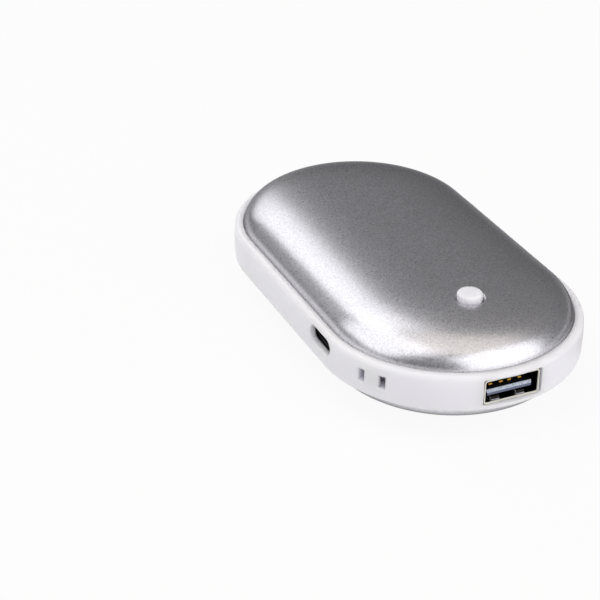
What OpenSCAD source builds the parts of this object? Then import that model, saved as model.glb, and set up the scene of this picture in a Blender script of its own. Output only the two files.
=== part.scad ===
// Pocket hand warmer that also charges other devices.
// Two domed aluminium shells close a moulded ring frame. The frame holds a tray
// with two round cells, and a circuit board that carries the sockets and the
// button's switch on its two sides.
// X runs across, Y along and Z up. The body rests on the XY plane, centred on
// the Z axis, with the outlet socket at the -Y end and the inlet on the -X side.

/* [Body] */
// Overall length over the frame
body_l = 104.6; // [103:0.2:115]
// Overall width over the frame
body_w = 60; // [59.6:0.2:66]
// Height of the ring frame
frame_h = 8.8; // [8.6:0.1:10]
// Rise of each shell's crown past the frame's edge
dome_rise = 7; // [6.9:0.05:8.5]
// Depth of the dome curve's start below the frame's edge
dome_sink = 2.85; // [2.4:0.05:3.2]
// Fullness of the dome curve, where 2 is an ellipse
dome_power = 2.95; // [2.8:0.05:3.3]
// Sheet thickness of the shells
shell_t = 0.9; // [0.7:0.05:0.95]
// Gap between a shell and the frame's lip
shell_gap = 0.12; // [0.1:0.02:0.3]
// Depth of a shell's foot below the frame's edge
foot_depth = 0.85; // [0.7:0.05:0.95]

/* [Ring frame] */
// Width of the frame's lip at its edge
rim_w = 2; // [1.8:0.05:2.1]
// Width of the ledge that carries a shell's foot
ledge_w = 1.2; // [1.15:0.05:1.3]
// How far the outer wall swells at mid height
wall_crown = 0.18; // [0.02:0.02:0.3]
// Radius of the frame's outer edges
edge_r = 1.05; // [0.5:0.05:1.2]
// Thickness of the adhesive under a shell's foot
glue_t = 0.15; // [0.1:0.01:0.2]

/* [Button] */
// Diameter of the button cap
button_d = 5.5; // [5:0.1:6.4]
// Height of the cap above the shell
button_proud = 1.4; // [1:0.05:1.6]
// Travel of the button
button_travel = 0.4; // [0.2:0.05:0.5]
// Distance of the button's axis from the front end
button_setback = 20.66; // [20.2:0.1:21.2]
// Radial gap between the cap and its hole
button_gap = 0.1; // [0.05:0.01:0.15]
// Bevel of the hole's edge in the shell
hole_edge = 0.55; // [0.1:0.05:0.55]
// Rounding of the cap's top edge
button_round = 0.35; // [0.2:0.05:0.7]

/* [Outlet socket] */
// Width of the outlet's metal shell
outlet_w = 13.1; // [12.8:0.1:13.3]
// Height of the outlet's metal shell
outlet_h = 5.7; // [5.6:0.05:5.8]
// Length of the outlet's metal shell
outlet_depth = 14; // [12:0.1:14.5]
// How far the outlet's face lies behind the front end
outlet_recess = 1.1; // [0.9:0.05:1.2]
// Gap beside the outlet's shell in the frame's window
outlet_side_gap = 0.4; // [0.2:0.05:0.8]
// Gap above the outlet's shell in the frame's window
outlet_top_gap = 0.35; // [0.15:0.01:0.38]
// Gap below the outlet's shell in the frame's window
outlet_low_gap = 0.15; // [0.08:0.01:0.18]

/* [Inlet socket] */
// Width of the inlet's metal shell
inlet_w = 8.94; // [8.6:0.02:9.1]
// Height of the inlet's metal shell
inlet_h = 3.2; // [3:0.02:3.3]
// Length of the inlet's metal shell
inlet_depth = 6.8; // [6:0.1:7]
// Width of the frame's opening for a plug
inlet_hole_w = 9.95; // [9.6:0.05:10.4]
// Height of the frame's opening for a plug
inlet_hole_h = 3.75; // [3.5:0.05:3.9]
// Distance of the inlet's axis from the front end
inlet_setback = 32.25; // [32:0.05:32.6]
// How far the inlet's face lies inside the frame's wall
inlet_recess = 1.9; // [1.6:0.05:2.2]

/* [Cord slots] */
// Width of each slot
slot_w = 1.7; // [1.4:0.05:2]
// Height of each slot
slot_h = 3; // [2.6:0.05:3.2]
// Distance between the middles of the two slots
slot_pitch = 5.2; // [4.6:0.1:5.4]
// Height of the slots' middle above the frame's middle
slot_lift = 0.3; // [0:0.05:0.35]
// Thickness of the bar between the slots
bar_t = 0.9; // [0.8:0.05:1.05]
// Depth of the channel behind the bar
channel_t = 2; // [1.7:0.05:2]
// Angle of the slots from the front end
slot_angle = 60; // [58:0.5:61]

/* [Cells] */
// Room beside the cells for the ring frame and the inlet
side_room = 11.45; // [11.4:0.05:11.8]
// Room above and below a cell for foam, heater and shell
cell_room = 2.25; // [2.2:0.05:2.5]
// Gap between the two cells
cell_gap = 0.5; // [0.3:0.05:0.6]
// Distance of the cells' front ends behind the button's axis
button_room = 5.54; // [5.5:0.02:6]
// Room behind the cells
back_room = 13.4; // [13:0.1:16]

/* [Board and tray] */
// Thickness of the circuit board
board_t = 1.2; // [1:0.05:1.3]
// Gap between the board's edge and the ring
board_gap = 0.9; // [0.7:0.05:1.2]
// Thickness of the tray's floor
tray_t = 1.4; // [1.2:0.05:1.5]
// Gap between the tray's edge and the ring
tray_gap = 0.5; // [0.4:0.05:0.8]
// Thickness of the tray's ribs and walls
tray_wall = 1.15; // [1:0.05:1.2]
// Diameter of a screw's thread
screw_d = 2; // [1.8:0.05:2.1]
// Length of a screw below its head
screw_l = 4.4; // [3.6:0.1:4.6]

/* [Heaters] */
// Thickness of a heater film
film_t = 0.3; // [0.2:0.02:0.34]
// Half width of a heater film
film_half_w = 17; // [15:0.1:17.5]

/* [Hidden] */
$fn = 96;

// Heights and half widths of the body
cut = 0.5;
dome_steps = 20;
corner_steps = 5;
crown_share = 0.2;
mid_z = dome_rise + frame_h / 2;
body_h = 2 * mid_z;
frame_top = mid_z + frame_h / 2;
straight_l = body_l - body_w;
front_y = -body_l / 2;
lip_half_w = body_w / 2 - rim_w;
ring_half_w = lip_half_w - ledge_w;
shell_half_w = lip_half_w - shell_gap;
shell_rise = dome_rise + dome_sink;
inner_half_w = shell_half_w - shell_t;
inner_rise = shell_rise - shell_t;
dome_base = frame_top - dome_sink;
ledge_z = frame_h / 2 - foot_depth - glue_t;

// Cells, as large as the room across and the room in height let them be
cell_setback = button_setback + button_room;
cell_d = min(body_w / 2 - side_room - cell_gap / 2, body_h - 2 * cell_room);
cell_l = body_l - cell_setback - back_room;

// Heights of the board and the tray
socket_gap = 0.05;
board_z = mid_z + outlet_h / 2 + socket_gap;
board_top = board_z + board_t;
tray_drop = 2.4;
tray_top = mid_z - tray_drop;
tray_bottom = tray_top - tray_t;
tray_half_w = ring_half_w - tray_gap;
board_half_w = ring_half_w - board_gap;

// Places along the body
cell_front = front_y + cell_setback;
cell_back = cell_front + cell_l;
cell_x = (cell_d + cell_gap) / 2;
cell_seat_gap = 0.1;
strip_t = 0.15;
seat_gap = 0.05;
wall_front = cell_front - strip_t - seat_gap - tray_wall;
board_back_gap = 0.2;
board_back = wall_front - board_back_gap;
button_y = front_y + button_setback;
inlet_y = front_y + inlet_setback;

// Face of the outlet's shell and the legs that hold it in the board
outlet_face = front_y + outlet_recess;
leg_l = 2;
leg_share = 0.6;
leg_y = outlet_face + outlet_depth * leg_share;

// Small screws
head_d = 3.6;
head_t = 1.2;
thread_gap = 0.05;
hole_gap = 0.15;
boss_r = 2.4;
recess_w = 0.5;
recess_l = 2;
recess_t = 0.7;
boss_inset = 2.9;
boss_radius = board_half_w - boss_inset;
boss_angle = 40;
side_boss_share = 0.77;
side_boss_x = board_half_w * side_boss_share;
side_boss_back = 2.5;
arm_boss_inset = 3.3;
arm_boss_x = board_half_w - arm_boss_inset;
arm_boss_back = 8.55;

// Tray lugs on the ring
lug_reach = 5.2;
lug_l = 6;
lug_h = 3.2;
lug_x = ring_half_w - lug_reach / 2;
lug_gap = 0.8;
lug_back = 17;
lug_places = [inlet_y + arm_boss_back + boss_r + lug_gap + lug_l / 2, cell_back - lug_back];

// Tray ribs that carry the cells
rib_gap = 0.35;
rib_t = 2;
rib_shares = [0.15, 0.42, 0.69];
rib_half_w = cell_x + cell_d / 2 + tray_wall;
spine_w = 6;
spine_h = 1.9;
wall_share = 0.42;
wall_half_w = tray_half_w * wall_share;
wall_top_gap = 0.3;
window_gap = 1.45;
window_w = outlet_w + 2 * window_gap;
window_back = 4;

// Contacts, leads and films
film_bond = 0.05;
film_clear = 0.1;
foam_w = 8;
foam_inset = 1.2;
foam_gap = 0.05;
lead_d = 1.2;
lead_bend = 1.5;
lead_rise = 0.4;
lead_lap = 3;
tail_share = 0.23;
tail_w = board_half_w * tail_share;
tail_t = 0.2;
plug_rim = 1;
plug_l = 3;
plug_h = 1.2;
plug_w = tail_w + 2 * plug_rim;

// Height of the dome curve at a distance from the body's centre line
function dome_height(from_centre, half_w, rise) =
    rise * pow(1 - pow(from_centre / half_w, dome_power), 1 / dome_power);

// Distance from the centre line of the stadium at a point
function from_centre(x, y) = norm([x, max(0, abs(y) - straight_l / 2)]);

// Height of the bottom shell's inner face at a point
function floor_z(x, y) =
    body_h - dome_base - dome_height(from_centre(x, y), inner_half_w, inner_rise);

function reversed(points) = [for (i = [len(points) - 1 : -1 : 0]) points[i]];

function raised(points, lift) = [for (p = points) [p.x, p.y + lift]];

function arc_points(centre, r, from, to, steps) =
    [for (i = [0 : steps]) let (a = from + (to - from) * i / steps)
        centre + r * [cos(a), sin(a)]];

// Points of the dome curve from a start height up to the flat crown
function dome_points(half_w, rise, first, last) =
    [for (i = [0 : dome_steps - 1]) let (a = first + (last - first) * i / dome_steps)
        [half_w * pow(cos(a), 2 / dome_power), rise * pow(sin(a), 2 / dome_power)]];

function angle_at_height(height, rise) = asin(pow(height / rise, dome_power / 2));

function angle_at_share(share) = acos(pow(share, dome_power / 2));

function dome_curve(half_w, rise, first) = concat(
    dome_points(half_w, rise, first, angle_at_share(crown_share)),
    [[crown_share * half_w, rise], [0, rise]]);

function rounded_points(w, h, r) = concat(
    arc_points([w / 2 - r, h / 2 - r], r, 0, 90, corner_steps),
    arc_points([r - w / 2, h / 2 - r], r, 90, 180, corner_steps),
    arc_points([r - w / 2, r - h / 2], r, 180, 270, corner_steps),
    arc_points([w / 2 - r, r - h / 2], r, 270, 360, corner_steps));

function obround_points(w, h) = concat(
    arc_points([(w - h) / 2, 0], h / 2, -90, 90, 2 * corner_steps),
    arc_points([(h - w) / 2, 0], h / 2, 90, 270, 2 * corner_steps));

// Sweeps a half section round the stadium: x is the distance from the centre line
module swept_round() {
    for (end = [0, 1])
        rotate([0, 0, 180 * end])
            translate([0, straight_l / 2, 0])
                rotate_extrude(angle = 180) children();
    for (side = [0, 1])
        mirror([side, 0, 0])
            rotate([90, 0, 0])
                linear_extrude(height = straight_l, center = true) children();
}

// Turns a piece of the upper half over into the lower half
module turned_under() {
    translate([0, 0, body_h]) mirror([0, 0, 1]) children();
}

// Lays a section in the YZ plane and gives it a width along X
module along_x(width) {
    rotate([90, 0, 90]) linear_extrude(height = width, center = true) children();
}

// Lays a section in the XZ plane and gives it a length towards +Y
module along_y(length) {
    translate([0, length, 0]) rotate([90, 0, 0]) linear_extrude(height = length) children();
}

module block(size, centre) {
    translate([centre.x, centre.y, centre.z]) cube(size, center = true);
}

// A box between two corners
module box(low, high) {
    translate(low) cube(high - low);
}

module stadium(half_w) {
    square([2 * half_w, straight_l], center = true);
    for (end = [-1, 1])
        translate([0, end * straight_l / 2]) circle(r = half_w);
}

// Shells
module dome_shell() {
    foot = dome_sink - foot_depth;
    outer = dome_curve(shell_half_w, shell_rise, angle_at_height(foot, shell_rise));
    inner = dome_curve(inner_half_w, inner_rise, angle_at_height(foot, inner_rise));
    translate([0, 0, dome_base])
        swept_round() polygon(concat(outer, reversed(inner)));
}

module top_shell() {
    color("silver")
        difference() {
            dome_shell();
            translate([0, button_y, frame_top])
                cylinder(r = button_d / 2 + button_gap, h = dome_rise + cut);
            translate([0, button_y, cap_top - button_proud - hole_edge])
                cylinder(r1 = button_d / 2 + button_gap, r2 = button_d / 2 + button_gap
                    + 2 * hole_edge, h = 2 * hole_edge);
        }
}

module bottom_shell() {
    color("silver") turned_under() dome_shell();
}

module foot_adhesive() {
    translate([0, 0, mid_z + ledge_z])
        swept_round()
            translate([inner_half_w, 0]) square([shell_t, glue_t]);
}

module shell_adhesive_top() {
    color("lightgray") foot_adhesive();
}

module shell_adhesive_bottom() {
    color("lightgray") turned_under() foot_adhesive();
}

// Ring frame
function wall_at(z) = body_w / 2 - wall_crown * pow(2 * z / frame_h, 2);

module ring_section() {
    flank = frame_h / 2 - edge_r;
    edge_x = wall_at(flank) - edge_r;
    wall_steps = 6;
    upper_edge = arc_points([edge_x, flank], edge_r, 0, 90, corner_steps);
    wall = [for (i = [1 - wall_steps : wall_steps - 1]) let (z = flank * i / wall_steps)
        [wall_at(z), z]];
    lower_edge = [for (p = reversed(upper_edge)) [p.x, -p.y]];
    inner = [[lip_half_w, frame_h / 2], [lip_half_w, ledge_z], [ring_half_w, ledge_z],
        [ring_half_w, -ledge_z], [lip_half_w, -ledge_z], [lip_half_w, -frame_h / 2]];
    polygon(concat(lower_edge, wall, upper_edge, inner));
}

module at_lugs() {
    for (side = [-1, 1], y = lug_places)
        translate([side * lug_x, y, 0]) children();
}

// Stands at the cord slots with X pointing out through the bar
module at_slots() {
    translate([0, -straight_l / 2, mid_z + slot_lift])
        rotate([0, 0, -90 - slot_angle]) children();
}

module slot_housing() {
    housing_wall = 1;
    housing_roof = 0.9;
    housing_t = 1.7;
    inner_x = body_w / 2 - bar_t - channel_t - housing_wall / 2 - housing_t / 2;
    at_slots()
        translate([inner_x, -(slot_pitch + slot_w) / 2 - housing_wall, -slot_h / 2 - housing_wall])
            cube([housing_t, slot_pitch + slot_w + 2 * housing_wall,
                slot_h + housing_wall + housing_roof]);
}

module cord_slots() {
    at_slots() {
        for (side = [-1, 1])
            translate([body_w / 2 - bar_t - channel_t, side * slot_pitch / 2 - slot_w / 2,
                -slot_h / 2])
                cube([bar_t + channel_t + cut, slot_w, slot_h]);
        translate([body_w / 2 - bar_t - channel_t, -slot_pitch / 2, -slot_h / 2])
            cube([channel_t, slot_pitch, slot_h]);
    }
}

module outlet_window() {
    corner_r = 0.5;
    width = outlet_w + 2 * outlet_side_gap;
    depth = body_w / 2 - sqrt(pow(ring_half_w, 2) - pow(width / 2, 2));
    translate([0, front_y - cut, mid_z + (outlet_top_gap - outlet_low_gap) / 2])
        along_y(depth + 2 * cut)
            polygon(rounded_points(width, outlet_h + outlet_top_gap + outlet_low_gap,
                corner_r));
}

// The inlet's opening, with a wider pocket behind a thin wall
module inlet_window() {
    wall = 1.45;
    pocket_side = 0.55;
    pocket_low = 0.5;
    depth = rim_w + ledge_w;
    translate([-body_w / 2, inlet_y, board_z - inlet_h / 2])
        rotate([90, 0, 90]) {
            translate([0, 0, -cut])
                linear_extrude(height = depth + 2 * cut)
                    polygon(obround_points(inlet_hole_w, inlet_hole_h));
            translate([0, -pocket_low / 2, wall])
                linear_extrude(height = depth - wall + cut)
                    polygon(obround_points(inlet_hole_w + 2 * pocket_side,
                        inlet_hole_h + pocket_low));
        }
}

module mid_frame() {
    color("white")
        difference() {
            union() {
                translate([0, 0, mid_z]) swept_round() ring_section();
                at_lugs()
                    translate([0, 0, tray_top + lug_h / 2])
                        cube([lug_reach + cut, lug_l, lug_h], center = true);
                slot_housing();
            }
            outlet_window();
            inlet_window();
            cord_slots();
            at_lugs()
                translate([0, 0, tray_top - cut])
                    cylinder(r = screw_d / 2 + thread_gap, h = lug_h + 2 * cut, $fn = 32);
        }
}

// Screws
module pan_screw() {
    difference() {
        union() {
            cylinder(r = head_d / 2, h = head_t, $fn = 32);
            translate([0, 0, -screw_l]) cylinder(r = screw_d / 2, h = screw_l, $fn = 32);
        }
        for (turn = [0, 90])
            rotate([0, 0, turn])
                translate([-recess_l / 2, -recess_w / 2, head_t - recess_t])
                    cube([recess_l, recess_w, recess_t + cut]);
    }
}

module tray_screws() {
    color("gray")
        at_lugs()
            translate([0, 0, tray_bottom]) mirror([0, 0, 1]) pan_screw();
}

// Places of the screws that hold the board down on the tray
module at_board_bosses() {
    for (side = [-1, 1])
        translate([0, -straight_l / 2, 0])
            rotate([0, 0, side * boss_angle])
                translate([0, -boss_radius, 0]) children();
    translate([side_boss_x, board_back - side_boss_back, 0]) children();
    translate([-arm_boss_x, inlet_y + arm_boss_back, 0]) children();
}

module board_screws() {
    color("gray")
        at_board_bosses()
            translate([0, 0, board_top]) pan_screw();
}

// Tray
module cell_bores(r) {
    for (side = [-1, 1])
        translate([side * cell_x, cell_front - strip_t - seat_gap, mid_z])
            rotate([-90, 0, 0])
                cylinder(r = r, h = cell_l + 2 * strip_t + 2 * seat_gap);
}

module inner_tray() {
    back_y = cell_back + strip_t + seat_gap;
    rib_z = max(floor_z(rib_half_w, wall_front), floor_z(0, back_y + tray_wall)) + rib_gap;
    back_z = floor_z(wall_half_w, back_y + tray_wall) + rib_gap;
    board_gap_z = board_z - wall_top_gap;
    color("dimgray")
        difference() {
            union() {
                difference() {
                    translate([0, 0, tray_bottom])
                        swept_round() square([tray_half_w, tray_t]);
                    box([-cell_x - cell_d / 3, wall_front + tray_wall, tray_bottom - cut],
                        [cell_x + cell_d / 3, back_y, tray_top + cut]);
                }
                for (share = rib_shares)
                    translate([0, cell_front + share * cell_l, 0])
                        box([-rib_half_w, -rib_t / 2, rib_z], [rib_half_w, rib_t / 2, tray_top]);
                box([-spine_w / 2, wall_front, rib_z],
                    [spine_w / 2, back_y + tray_wall, rib_z + spine_h]);
                box([-rib_half_w, wall_front, rib_z],
                    [rib_half_w, wall_front + tray_wall, board_gap_z]);
                box([-wall_half_w, back_y, back_z],
                    [wall_half_w, back_y + tray_wall, board_gap_z]);
                at_board_bosses()
                    translate([0, 0, tray_bottom])
                        cylinder(r = boss_r, h = board_z - tray_bottom, $fn = 48);
            }
            cell_bores(cell_d / 2 + cell_seat_gap);
            box([-window_w / 2, front_y, tray_bottom - cut],
                [window_w / 2, wall_front - window_back, tray_top + cut]);
            at_board_bosses()
                translate([0, 0, board_z - screw_l])
                    cylinder(r = screw_d / 2 + thread_gap, h = screw_l + cut, $fn = 32);
            at_lugs()
                translate([0, 0, tray_bottom - cut])
                    cylinder(r = screw_d / 2 + hole_gap, h = tray_t + 2 * cut, $fn = 32);
        }
}

// Cells and what joins them
cap_r = 2.8;
cap_h = 0.8;
ring_t = 0.3;

module at_cells() {
    for (side = [-1, 1])
        translate([side * cell_x, cell_front, mid_z]) rotate([-90, 0, 0]) children();
}

module battery_cells() {
    rim = 0.6;
    color("cornflowerblue")
        at_cells() {
            translate([0, 0, cap_h])
                rotate_extrude()
                    polygon([[0, 0], [cell_d / 2 - rim, 0], [cell_d / 2, rim],
                        [cell_d / 2, cell_l - cap_h - rim],
                        [cell_d / 2 - rim, cell_l - cap_h], [0, cell_l - cap_h]]);
            cylinder(r = cap_r, h = cap_h);
        }
}

module cell_insulators() {
    color("ivory")
        at_cells()
            translate([0, 0, cap_h - ring_t])
                difference() {
                    cylinder(r = cell_d / 2 - 2 * ring_t, h = ring_t);
                    translate([0, 0, -cut])
                        cylinder(r = cap_r + ring_t, h = ring_t + 2 * cut);
                }
}

strip_h = 5;
tab_w = 4;
tab_share = 0.23;
tab_x = board_half_w * tab_share;
lead_z = board_top + lead_bend + lead_rise;
tab_top = lead_z + lead_d / 2 + strip_t;

// Height at which a strip lies across the valley between the two cells, rounded up
valley_rise = sqrt(pow(cell_d / 2 + seat_gap, 2) - pow(cell_x - tab_w / 2, 2));
valley_z = mid_z + seat_gap * ceil(valley_rise / seat_gap);

module nickel_strips() {
    half_w = cell_x + cap_r;
    low = mid_z - strip_h / 2;
    high = mid_z + strip_h / 2;
    color("lightsteelblue") {
        box([-half_w, cell_front - strip_t, low], [half_w, cell_front, high]);
        box([tab_x - tab_w / 2, cell_front - strip_t, low],
            [tab_x + tab_w / 2, cell_front, tab_top]);
        box([-half_w, cell_back, low], [half_w, cell_back + strip_t, high]);
        box([-tab_w / 2, cell_back, low],
            [tab_w / 2, cell_back + strip_t, valley_z + strip_t]);
        box([-tab_w / 2, cell_front, valley_z],
            [tab_w / 2, cell_back + strip_t, valley_z + strip_t]);
    }
}

// A lead that runs level to the front and then bends down on to the board
module lead(start_y, z) {
    drop = z - lead_bend - board_top;
    end_y = board_back - lead_d / 2 - 2 * hole_gap;
    bend_y = end_y + lead_bend;
    translate([0, bend_y, z])
        rotate([-90, 0, 0])
            cylinder(r = lead_d / 2, h = start_y - bend_y, $fn = 32);
    translate([0, bend_y, z - lead_bend])
        rotate([90, 0, -90])
            rotate_extrude(angle = 90, $fn = 64)
                translate([lead_bend, 0]) circle(r = lead_d / 2, $fn = 32);
    translate([0, end_y, board_top]) cylinder(r = lead_d / 2, h = drop, $fn = 32);
}

module battery_lead_red() {
    color("firebrick")
        translate([tab_x, 0, 0])
            lead(cell_front - strip_t, lead_z);
}

module battery_lead_black() {
    color("black")
        lead(cell_front + lead_lap, max(lead_z, valley_z + strip_t + lead_d / 2));
}

// Foam between the cells and the heaters, in the bays between the tray's ribs
module foam_strips() {
    near = spine_w / 2 + foam_inset;
    low = mid_z + cell_d / 2 + foam_gap;
    high = body_h - floor_z(near + foam_w, 0) - film_bond - film_t - foam_gap;
    for (side = [0, 1], bay = [1 : len(rib_shares) - 1])
        mirror([side, 0, 0])
            box([near, cell_front + cell_l * rib_shares[bay - 1] + rib_t / 2 + foam_inset, low],
                [near + foam_w, cell_front + cell_l * rib_shares[bay] - rib_t / 2 - foam_inset,
                high]);
}

module foam_strips_top() {
    color("darkslategray") foam_strips();
}

module foam_strips_bottom() {
    color("darkslategray") turned_under() foam_strips();
}

// Heaters bonded to the shells' inner faces
module heater_film() {
    curve = dome_curve(inner_half_w, inner_rise,
        angle_at_share(film_half_w / inner_half_w));
    translate([0, 0, dome_base])
        swept_round()
            polygon(concat(raised(curve, -film_bond),
                reversed(raised(curve, -film_bond - film_t))));
}

film_setback = 3;
film_front = cell_front + film_setback;

module heater_film_top() {
    color("darkorange")
        difference() {
            heater_film();
            box([-body_w, -body_l, mid_z], [body_w, film_front, 2 * body_h]);
        }
}

module heater_film_bottom() {
    color("darkorange") turned_under() heater_film();
}

tail_place_share = 0.425;
tail_x = board_half_w * tail_place_share;
tail_lap = 4;
under_plug_gap = 0.85;
plug_edge = 0.4;
tail_end = board_back - plug_edge - plug_l / 2;

module heater_tail_top() {
    high = body_h - floor_z(tail_x + tail_w / 2, film_front) - film_bond - film_t - film_clear;
    low = board_top + plug_h;
    color("orange")
        translate([tail_x, 0, 0])
            along_x(tail_w)
                polygon([[film_front + tail_lap, high], [tail_end, high], [tail_end, low],
                    [tail_end + tail_t, low], [tail_end + tail_t, high - tail_t],
                    [film_front + tail_lap, high - tail_t]]);
}

under_tail_y = outlet_face + outlet_depth + under_plug_gap + plug_l / 2;

module heater_tail_bottom() {
    low = floor_z(tail_w / 2, under_tail_y - tail_lap) + film_bond + film_t + film_clear;
    high = board_z - plug_h;
    color("orange")
        along_x(tail_w)
            polygon([[under_tail_y - tail_lap, low], [under_tail_y + tail_t, low],
                [under_tail_y + tail_t, high], [under_tail_y, high],
                [under_tail_y, low + tail_t], [under_tail_y - tail_lap, low + tail_t]]);
}

module heater_connectors() {
    color("ivory") {
        translate([tail_x, tail_end, board_top])
            box([-plug_w / 2, -plug_l / 2, 0], [plug_w / 2, plug_l / 2, plug_h]);
        translate([0, under_tail_y, board_z - plug_h])
            box([-plug_w / 2, -plug_l / 2, 0], [plug_w / 2, plug_l / 2, plug_h]);
    }
}

module thermistor() {
    bead_d = 1.8;
    bead_l = 3.4;
    color("black")
        translate([0, 0, body_h - shell_t - film_bond - film_t - bead_d / 2 - film_clear]) {
            rotate([90, 0, 0])
                cylinder(r = bead_d / 2, h = bead_l - bead_d, center = true, $fn = 32);
            for (end = [-1, 1])
                translate([0, end * (bead_l - bead_d) / 2, 0])
                    sphere(r = bead_d / 2, $fn = 32);
        }
}

// Circuit board
arm_w = 6.6;
arm_end = 2.9;

module main_board() {
    slot_l = leg_l + 2 * hole_gap;
    color("seagreen")
        difference() {
            translate([0, 0, board_z])
                linear_extrude(height = board_t)
                    intersection() {
                        stadium(board_half_w);
                        union() {
                            translate([-body_w, -body_l])
                                square([2 * body_w, board_back + body_l]);
                            translate([-board_half_w, board_back - cut])
                                square([arm_w, inlet_y + arm_boss_back + arm_end
                                    - board_back + cut]);
                        }
                    }
            at_board_bosses()
                translate([0, 0, board_z - cut])
                    cylinder(r = screw_d / 2 + hole_gap, h = board_t + 2 * cut, $fn = 32);
            for (side = [-1, 1])
                block([sheet_t + 2 * hole_gap, slot_l, board_t + 2 * cut],
                    [side * (outlet_w - sheet_t) / 2, leg_y, board_z + board_t / 2]);
        }
}

chip_l = 5;
chip_w = 4;
chip_t = 1.5;
chip_share = 0.47;
chip_x = board_half_w * chip_share;
chip_ahead = 3.5;
chip_y = button_y - chip_ahead;
leg_w = 0.4;
leg_reach = 1;
leg_t = 0.2;
leg_pitch = 1.27;

module control_chip() {
    color("black")
        translate([chip_x, chip_y, board_top]) {
            translate([-chip_w / 2, -chip_l / 2, leg_t]) cube([chip_w, chip_l, chip_t]);
            for (side = [0, 1], i = [0 : 3])
                mirror([side, 0, 0])
                    translate([chip_w / 2, (i - 1.5) * leg_pitch, 0])
                        rotate([90, 0, 0])
                            linear_extrude(height = leg_w, center = true)
                                polygon([[0, chip_t / 2], [leg_reach / 2, chip_t / 2],
                                    [leg_reach / 2, leg_t], [leg_reach, leg_t],
                                    [leg_reach, 0], [leg_reach / 2 - leg_t, 0],
                                    [leg_reach / 2 - leg_t, chip_t / 2 - leg_t],
                                    [0, chip_t / 2 - leg_t]]);
        }
}

coil_w = 6.6;
coil_h = 3;
coil_r = 1;
coil_share = 0.5;
coil_x = board_half_w * coil_share;

module power_inductor() {
    color("dimgray")
        translate([-coil_x, button_y, board_top]) {
            linear_extrude(height = coil_h) polygon(rounded_points(coil_w, coil_w, coil_r));
            for (end = [-1, 1])
                translate([0, end * coil_w / 2, 0])
                    block([coil_w / 2, 2 * leg_t, 2 * leg_t], [0, 0, leg_t]);
        }
}

can_r = 2.5;
can_h = 3.4;
can_base = 0.6;
chip_cap = [1.6, 0.8, 0.8];
can_share = 0.24;
can_x = board_half_w * can_share;
can_gap = 1.4;
can_y = leg_y + leg_l / 2 + can_gap + can_r + can_base / 2;

module board_capacitors() {
    color("silver") {
        for (side = [-1, 1])
            translate([side * can_x, can_y, board_top]) {
                translate([0, 0, can_base]) cylinder(r = can_r, h = can_h, $fn = 48);
                linear_extrude(height = can_base)
                    polygon(rounded_points(2 * can_r + can_base, 2 * can_r + can_base, can_base));
            }
        for (side = [-1, 1], i = [0, 1])
            translate([side * can_x / 3, can_y - i * 2 * chip_cap.x, board_top])
                translate([-chip_cap.x / 2, -chip_cap.y / 2, 0]) cube(chip_cap);
    }
}

module indicator_leds() {
    color("lightyellow")
        for (side = [-1, 1])
            translate([side * (switch_w / 2 + chip_cap.x), button_y, board_top])
                translate([-chip_cap.y / 2, -chip_cap.x / 2, 0])
                    cube([chip_cap.y, chip_cap.x, chip_cap.z]);
}

// Outlet socket, hung under the board with its contacts facing up
sheet_t = 0.3;
sheet_r = 0.7;
tongue_side_gap = 0.85;
tongue_w = outlet_w - 2 * sheet_t - 2 * tongue_side_gap;
tongue_h = 1.5;
tongue_lift = 0.8;
tongue_recess = 1.1;
tongue_block = 3.6;
tongue_nose_share = 0.22;
pin_w = 1;
pin_t = 0.15;
pin_outer_x = 3.5;
pin_inner_x = 1;
pin_places = [-pin_outer_x, -pin_inner_x, pin_inner_x, pin_outer_x];
pin_start = 1.8;
spring_w = 2.3;
spring_l = 5;
spring_rise = 0.65;
spring_x = 3;
spring_tip = 0.1;
spring_crest_share = 0.14;
spring_root_share = 0.9;
floor_top = mid_z - outlet_h / 2 + sheet_t;
tongue_top = floor_top + tongue_lift + tongue_h;

// One spring leaf of the outlet, pressed into the socket from its floor
module outlet_spring() {
    tip = spring_tip - sheet_t;
    crest = spring_l * spring_crest_share;
    root = spring_l * spring_root_share;
    along_x(spring_w)
        polygon([[spring_l, 0], [spring_l, -sheet_t], [root, -sheet_t],
            [crest, spring_rise - sheet_t], [0, tip], [0, spring_tip],
            [crest, spring_rise], [root, 0]]);
}

module outlet_shell() {
    lip_t = 0.12;
    lip_l = 0.55;
    tip_gap = 0.08;
    spring_y = outlet_face + lip_l + sheet_t / 2;
    color("gainsboro")
        union() {
            difference() {
                translate([0, outlet_face, mid_z])
                    along_y(outlet_depth)
                        polygon(rounded_points(outlet_w, outlet_h, sheet_r));
                translate([0, outlet_face - cut, mid_z])
                    along_y(outlet_depth + 2 * cut)
                        polygon(rounded_points(outlet_w - 2 * sheet_t,
                            outlet_h - 2 * sheet_t, sheet_r - sheet_t));
                translate([0, outlet_face - cut, mid_z])
                    along_y(lip_l + cut)
                        polygon(rounded_points(outlet_w - 2 * lip_t,
                            outlet_h - 2 * lip_t, sheet_r - lip_t));
                for (side = [-1, 1], level = [-1, 1])
                    translate([side * spring_x, spring_y + (spring_l - tip_gap) / 2,
                        mid_z + level * outlet_h / 2])
                        cube([spring_w + 2 * hole_gap, spring_l + tip_gap, 4 * sheet_t],
                            center = true);
                translate([0, outlet_face + outlet_depth, mid_z + outlet_h / 2])
                    cube([2 * (pin_outer_x + pin_w), pin_w, 4 * sheet_t],
                        center = true);
            }
            for (side = [-1, 1]) {
                translate([side * spring_x, spring_y, floor_top]) outlet_spring();
                translate([side * spring_x, spring_y, 2 * mid_z - floor_top])
                    mirror([0, 0, 1]) outlet_spring();
                translate([side * (outlet_w - sheet_t) / 2, leg_y,
                    mid_z + (outlet_h / 2 + board_t + cut) / 2])
                    cube([sheet_t, leg_l, outlet_h / 2 + board_t + cut], center = true);
            }
        }
}

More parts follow.
